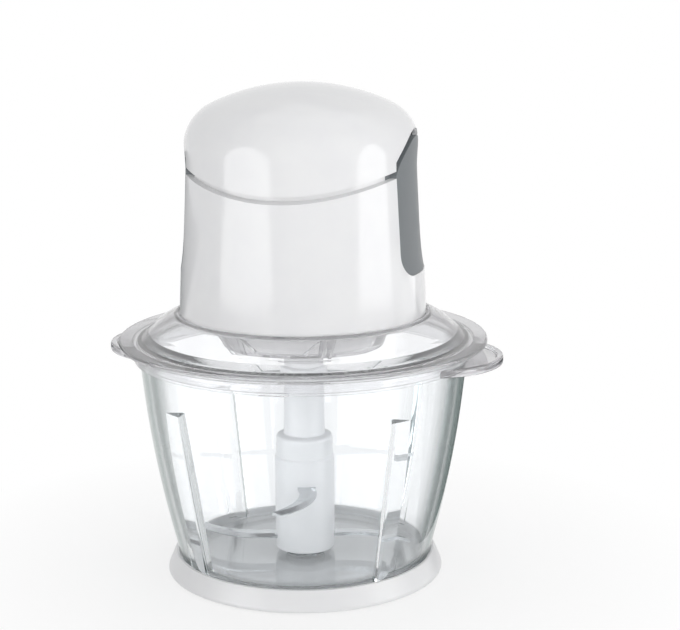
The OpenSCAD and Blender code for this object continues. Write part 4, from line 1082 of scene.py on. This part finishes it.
@dataclass
class Studio:
    """White sweep, soft light and the camera at the photograph's angle."""

    azimuth: float = 12.0
    distance: float = 0.775
    height: float = 0.288
    pitch: float = 12.25
    roll: float = -0.28
    focal_px: float = 1737.0
    axis_px: float = 302.4
    frame_px: tuple[int, int] = (680, 630)
    aim_z: float = 0.13
    spread_share: float = 0.75
    shadow_reach: tuple[float, float] = (0.07, 0.2)
    shadow_white: float = 0.75
    floor_mm: float = 4000.0
    card_inside: float = 80.0
    card_outside: float = 1100.0
    card_widening: float = 1 / 6
    card_z: float = 1.0
    clear_bounces: int = 120
    gloss_bounces: int = 60

    def camera(self) -> None:
        """Places the camera so that the chopper's axis falls where the photograph has it."""
        turn = math.radians(self.azimuth)
        data = bpy.data.cameras.new("camera")
        data.sensor_width = SENSOR_MM
        data.lens = self.focal_px * SENSOR_MM / self.frame_px[0]
        cam = bpy.data.objects.new("camera", data)
        bpy.context.scene.collection.objects.link(cam)
        cam.location = (self.distance * math.sin(turn), -self.distance * math.cos(turn), self.height)
        yaw = math.atan((self.frame_px[0] / 2 - self.axis_px) / self.focal_px)
        cam.rotation_mode = "XYZ"
        spin = (Matrix.Rotation(turn - yaw, 3, "Z") @ Matrix.Rotation(math.radians(90 - self.pitch), 3, "X")
                @ Matrix.Rotation(math.radians(self.roll), 3, "Z"))
        cam.rotation_euler = spin.to_euler()
        bpy.context.scene.camera = cam

    def lamp(self, name: str, place: tuple[float, float, float], size: tuple[float, float],
             power: float, mirrored: bool, lights: bool, panel: Panel = Panel.SQUARE) -> None:
        """Adds one softbox that faces the chopper's middle.

        Args:
            name: The lamp's name.
            place: Where it stands, in metres.
            size: Its width and height.
            power: Its power in watts.
            mirrored: Whether gloss shows it.
            lights: Whether it lights matt surfaces.
            panel: Its outline.
        """
        data = bpy.data.lights.new(name, "AREA")
        data.shape, data.size, data.size_y, data.energy = panel.value, size[0], size[1], power
        lamp = bpy.data.objects.new(name, data)
        lamp.location = place
        lamp.visible_glossy, lamp.visible_diffuse = mirrored, lights
        aim = Vector((0, 0, self.aim_z)) - Vector(place)
        lamp.rotation_mode = "QUATERNION"
        lamp.rotation_quaternion = aim.to_track_quat("-Z", "Y")
        bpy.context.scene.collection.objects.link(lamp)

    def seen(self, tree: bpy.types.NodeTree) -> bpy.types.NodeSocket:
        """Tells what is looked at, straight or in gloss and glass, from what only gives light.

        Args:
            tree: The node tree to add to.

        Returns:
            A socket that is one for what is looked at and falls to zero for what only gives light.
        """
        path = add_node(tree, "ShaderNodeLightPath")
        clear = add_node(tree, "ShaderNodeMath", None,
                         {0: path.outputs["Is Camera Ray"], 1: path.outputs["Is Transmission Ray"]},
                         operation="MAXIMUM")
        bright = add_node(tree, "ShaderNodeMath", None,
                          {0: clear.outputs[0], 1: path.outputs["Is Glossy Ray"]}, operation="MAXIMUM")
        # It falls off each time that a matt surface spreads it, so that what stands in glass isn't overlit
        straight = add_node(tree, "ShaderNodeMath", {0: self.spread_share},
                            {1: path.outputs["Diffuse Depth"]}, operation="POWER")
        return add_node(tree, "ShaderNodeMath", None, {0: bright.outputs[0], 1: straight.outputs[0]},
                        operation="MULTIPLY").outputs[0]

    def sweep(self) -> None:
        """Lays the pale floor, which stays white to the camera but keeps a faint shadow."""
        bm = bmesh.new()
        bmesh.ops.create_grid(bm, x_segments=1, y_segments=1, size=self.floor_mm)
        floor = to_object("floor", bm)
        material, tree = new_material("white_sweep")
        seen = self.seen(tree)
        # The shadow shows under the chopper and fades out to plain white around it
        place = add_node(tree, "ShaderNodeTexCoord")
        away = add_node(tree, "ShaderNodeVectorMath", None, {0: place.outputs["Object"]}, operation="LENGTH")
        near, far = self.shadow_reach
        fade = add_node(tree, "ShaderNodeMapRange",
                        {"From Min": near, "From Max": far, "To Min": self.shadow_white, "To Max": 1.0},
                        {"Value": away.outputs["Value"]})
        share = add_node(tree, "ShaderNodeMath", None, {0: seen, 1: fade.outputs["Result"]},
                         operation="MULTIPLY")
        matt = add_node(tree, "ShaderNodeBsdfDiffuse", {"Color": linear("#FAFAFA")})
        glow = add_node(tree, "ShaderNodeEmission", {"Color": (1, 1, 1, 1), "Strength": 1.0})
        mix = add_node(tree, "ShaderNodeMixShader", None,
                       {0: share.outputs[0], 1: matt.outputs[0], 2: glow.outputs[0]})
        add_node(tree, "ShaderNodeOutputMaterial", None, {"Surface": mix.outputs[0]})
        floor.data.materials.append(material)

    def flag(self, name: str, side: Side, near: float, far: float, tone: str) -> None:
        """Lays a grey card beside the view, which shows only in gloss and darkens the edges there.

        Args:
            name: The card's name.
            side: Which side of the view it lies on.
            near: Where it begins behind the chopper, in millimetres.
            far: Where it ends.
            tone: Its shade of grey.
        """
        turn = math.radians(self.azimuth)
        right, ahead = Vector((math.cos(turn), math.sin(turn))), Vector((-math.sin(turn), math.cos(turn)))
        bm = bmesh.new()
        inner = [self.card_inside + deep * self.card_widening for deep in (near, far)]
        corners = ((inner[0], near), (inner[1], far), (self.card_outside, far), (self.card_outside, near))
        bm.faces.new([bm.verts.new((*(right * across * side.value + ahead * deep), self.card_z))
                      for across, deep in corners])
        card = to_object(name, bm)
        card.visible_camera = card.visible_diffuse = False
        card.visible_transmission = card.visible_shadow = False
        material, tree = new_material(f"{name}_paper")
        glow = add_node(tree, "ShaderNodeEmission", {"Color": linear(tone), "Strength": 1.0})
        add_node(tree, "ShaderNodeOutputMaterial", None, {"Surface": glow.outputs[0]})
        card.data.materials.append(material)

    def world(self) -> None:
        """White to the eye and in glass; a plain soft level as light."""
        world = bpy.data.worlds.new("studio")
        bpy.context.scene.world = world
        world.use_nodes = True
        tree = world.node_tree
        tree.nodes.clear()
        fill = add_node(tree, "ShaderNodeBackground", {"Color": (0.96, 0.965, 0.98, 1), "Strength": 0.54})
        white = add_node(tree, "ShaderNodeBackground", {"Color": (1, 1, 1, 1), "Strength": 1.0})
        mix = add_node(tree, "ShaderNodeMixShader", None,
                       {0: self.seen(tree), 1: fill.outputs[0], 2: white.outputs[0]})
        add_node(tree, "ShaderNodeOutputWorld", None, {"Surface": mix.outputs[0]})

    def build(self) -> None:
        """Sets up the floor, the light and the camera."""
        scene = bpy.context.scene
        scene.view_settings.view_transform = "Standard"
        # Light crosses many clear faces in the lid before it leaves again
        scene.cycles.max_bounces = scene.cycles.transmission_bounces = self.clear_bounces
        scene.cycles.glossy_bounces = scene.cycles.transparent_max_bounces = self.gloss_bounces
        self.sweep()
        self.flag("left_flag", Side.LEFT, 420.0, 1600.0, "#6A6E70")
        self.flag("right_flag", Side.RIGHT, -20.0, 420.0, "#4C5252")
        self.world()
        self.lamp("front_softbox", (0.15, -1.5, 0.38), (0.9, 0.7), 4.0, False, True)
        self.lamp("right_softbox", (1.25, -0.75, 0.6), (0.7, 1.2), 5.5, False, True)
        self.lamp("top_softbox", (0.1, 0.2, 1.5), (1.4, 1.2), 2.3, True, True)
        self.lamp("left_strip", (-0.361, -0.415, -0.12), (0.62, 1.3), 5.0, True, False, Panel.OVAL)
        self.lamp("left_fill", (-1.3, -0.6, 0.25), (0.5, 0.5), 1.3, False, True)
        self.lamp("right_strip", (0.543, -0.086, -0.12), (0.42, 1.3), 3.6, True, False, Panel.OVAL)
        self.lamp("right_card", (0.486, 0.258, 0.02), (0.37, 0.1), 0.2, True, False)
        self.camera()


def main() -> None:
    """Builds every sub-assembly in order."""
    logging.basicConfig(level=logging.INFO, format="%(name)s: %(message)s")
    Studio().build()
    Base().build()
    Bowl().build()
    Spindle().build()
    Lid().build()
    MotorUnit().build()
    Works().dress()
    bpy.context.view_layer.update()


if __name__ == "__main__":
    main()
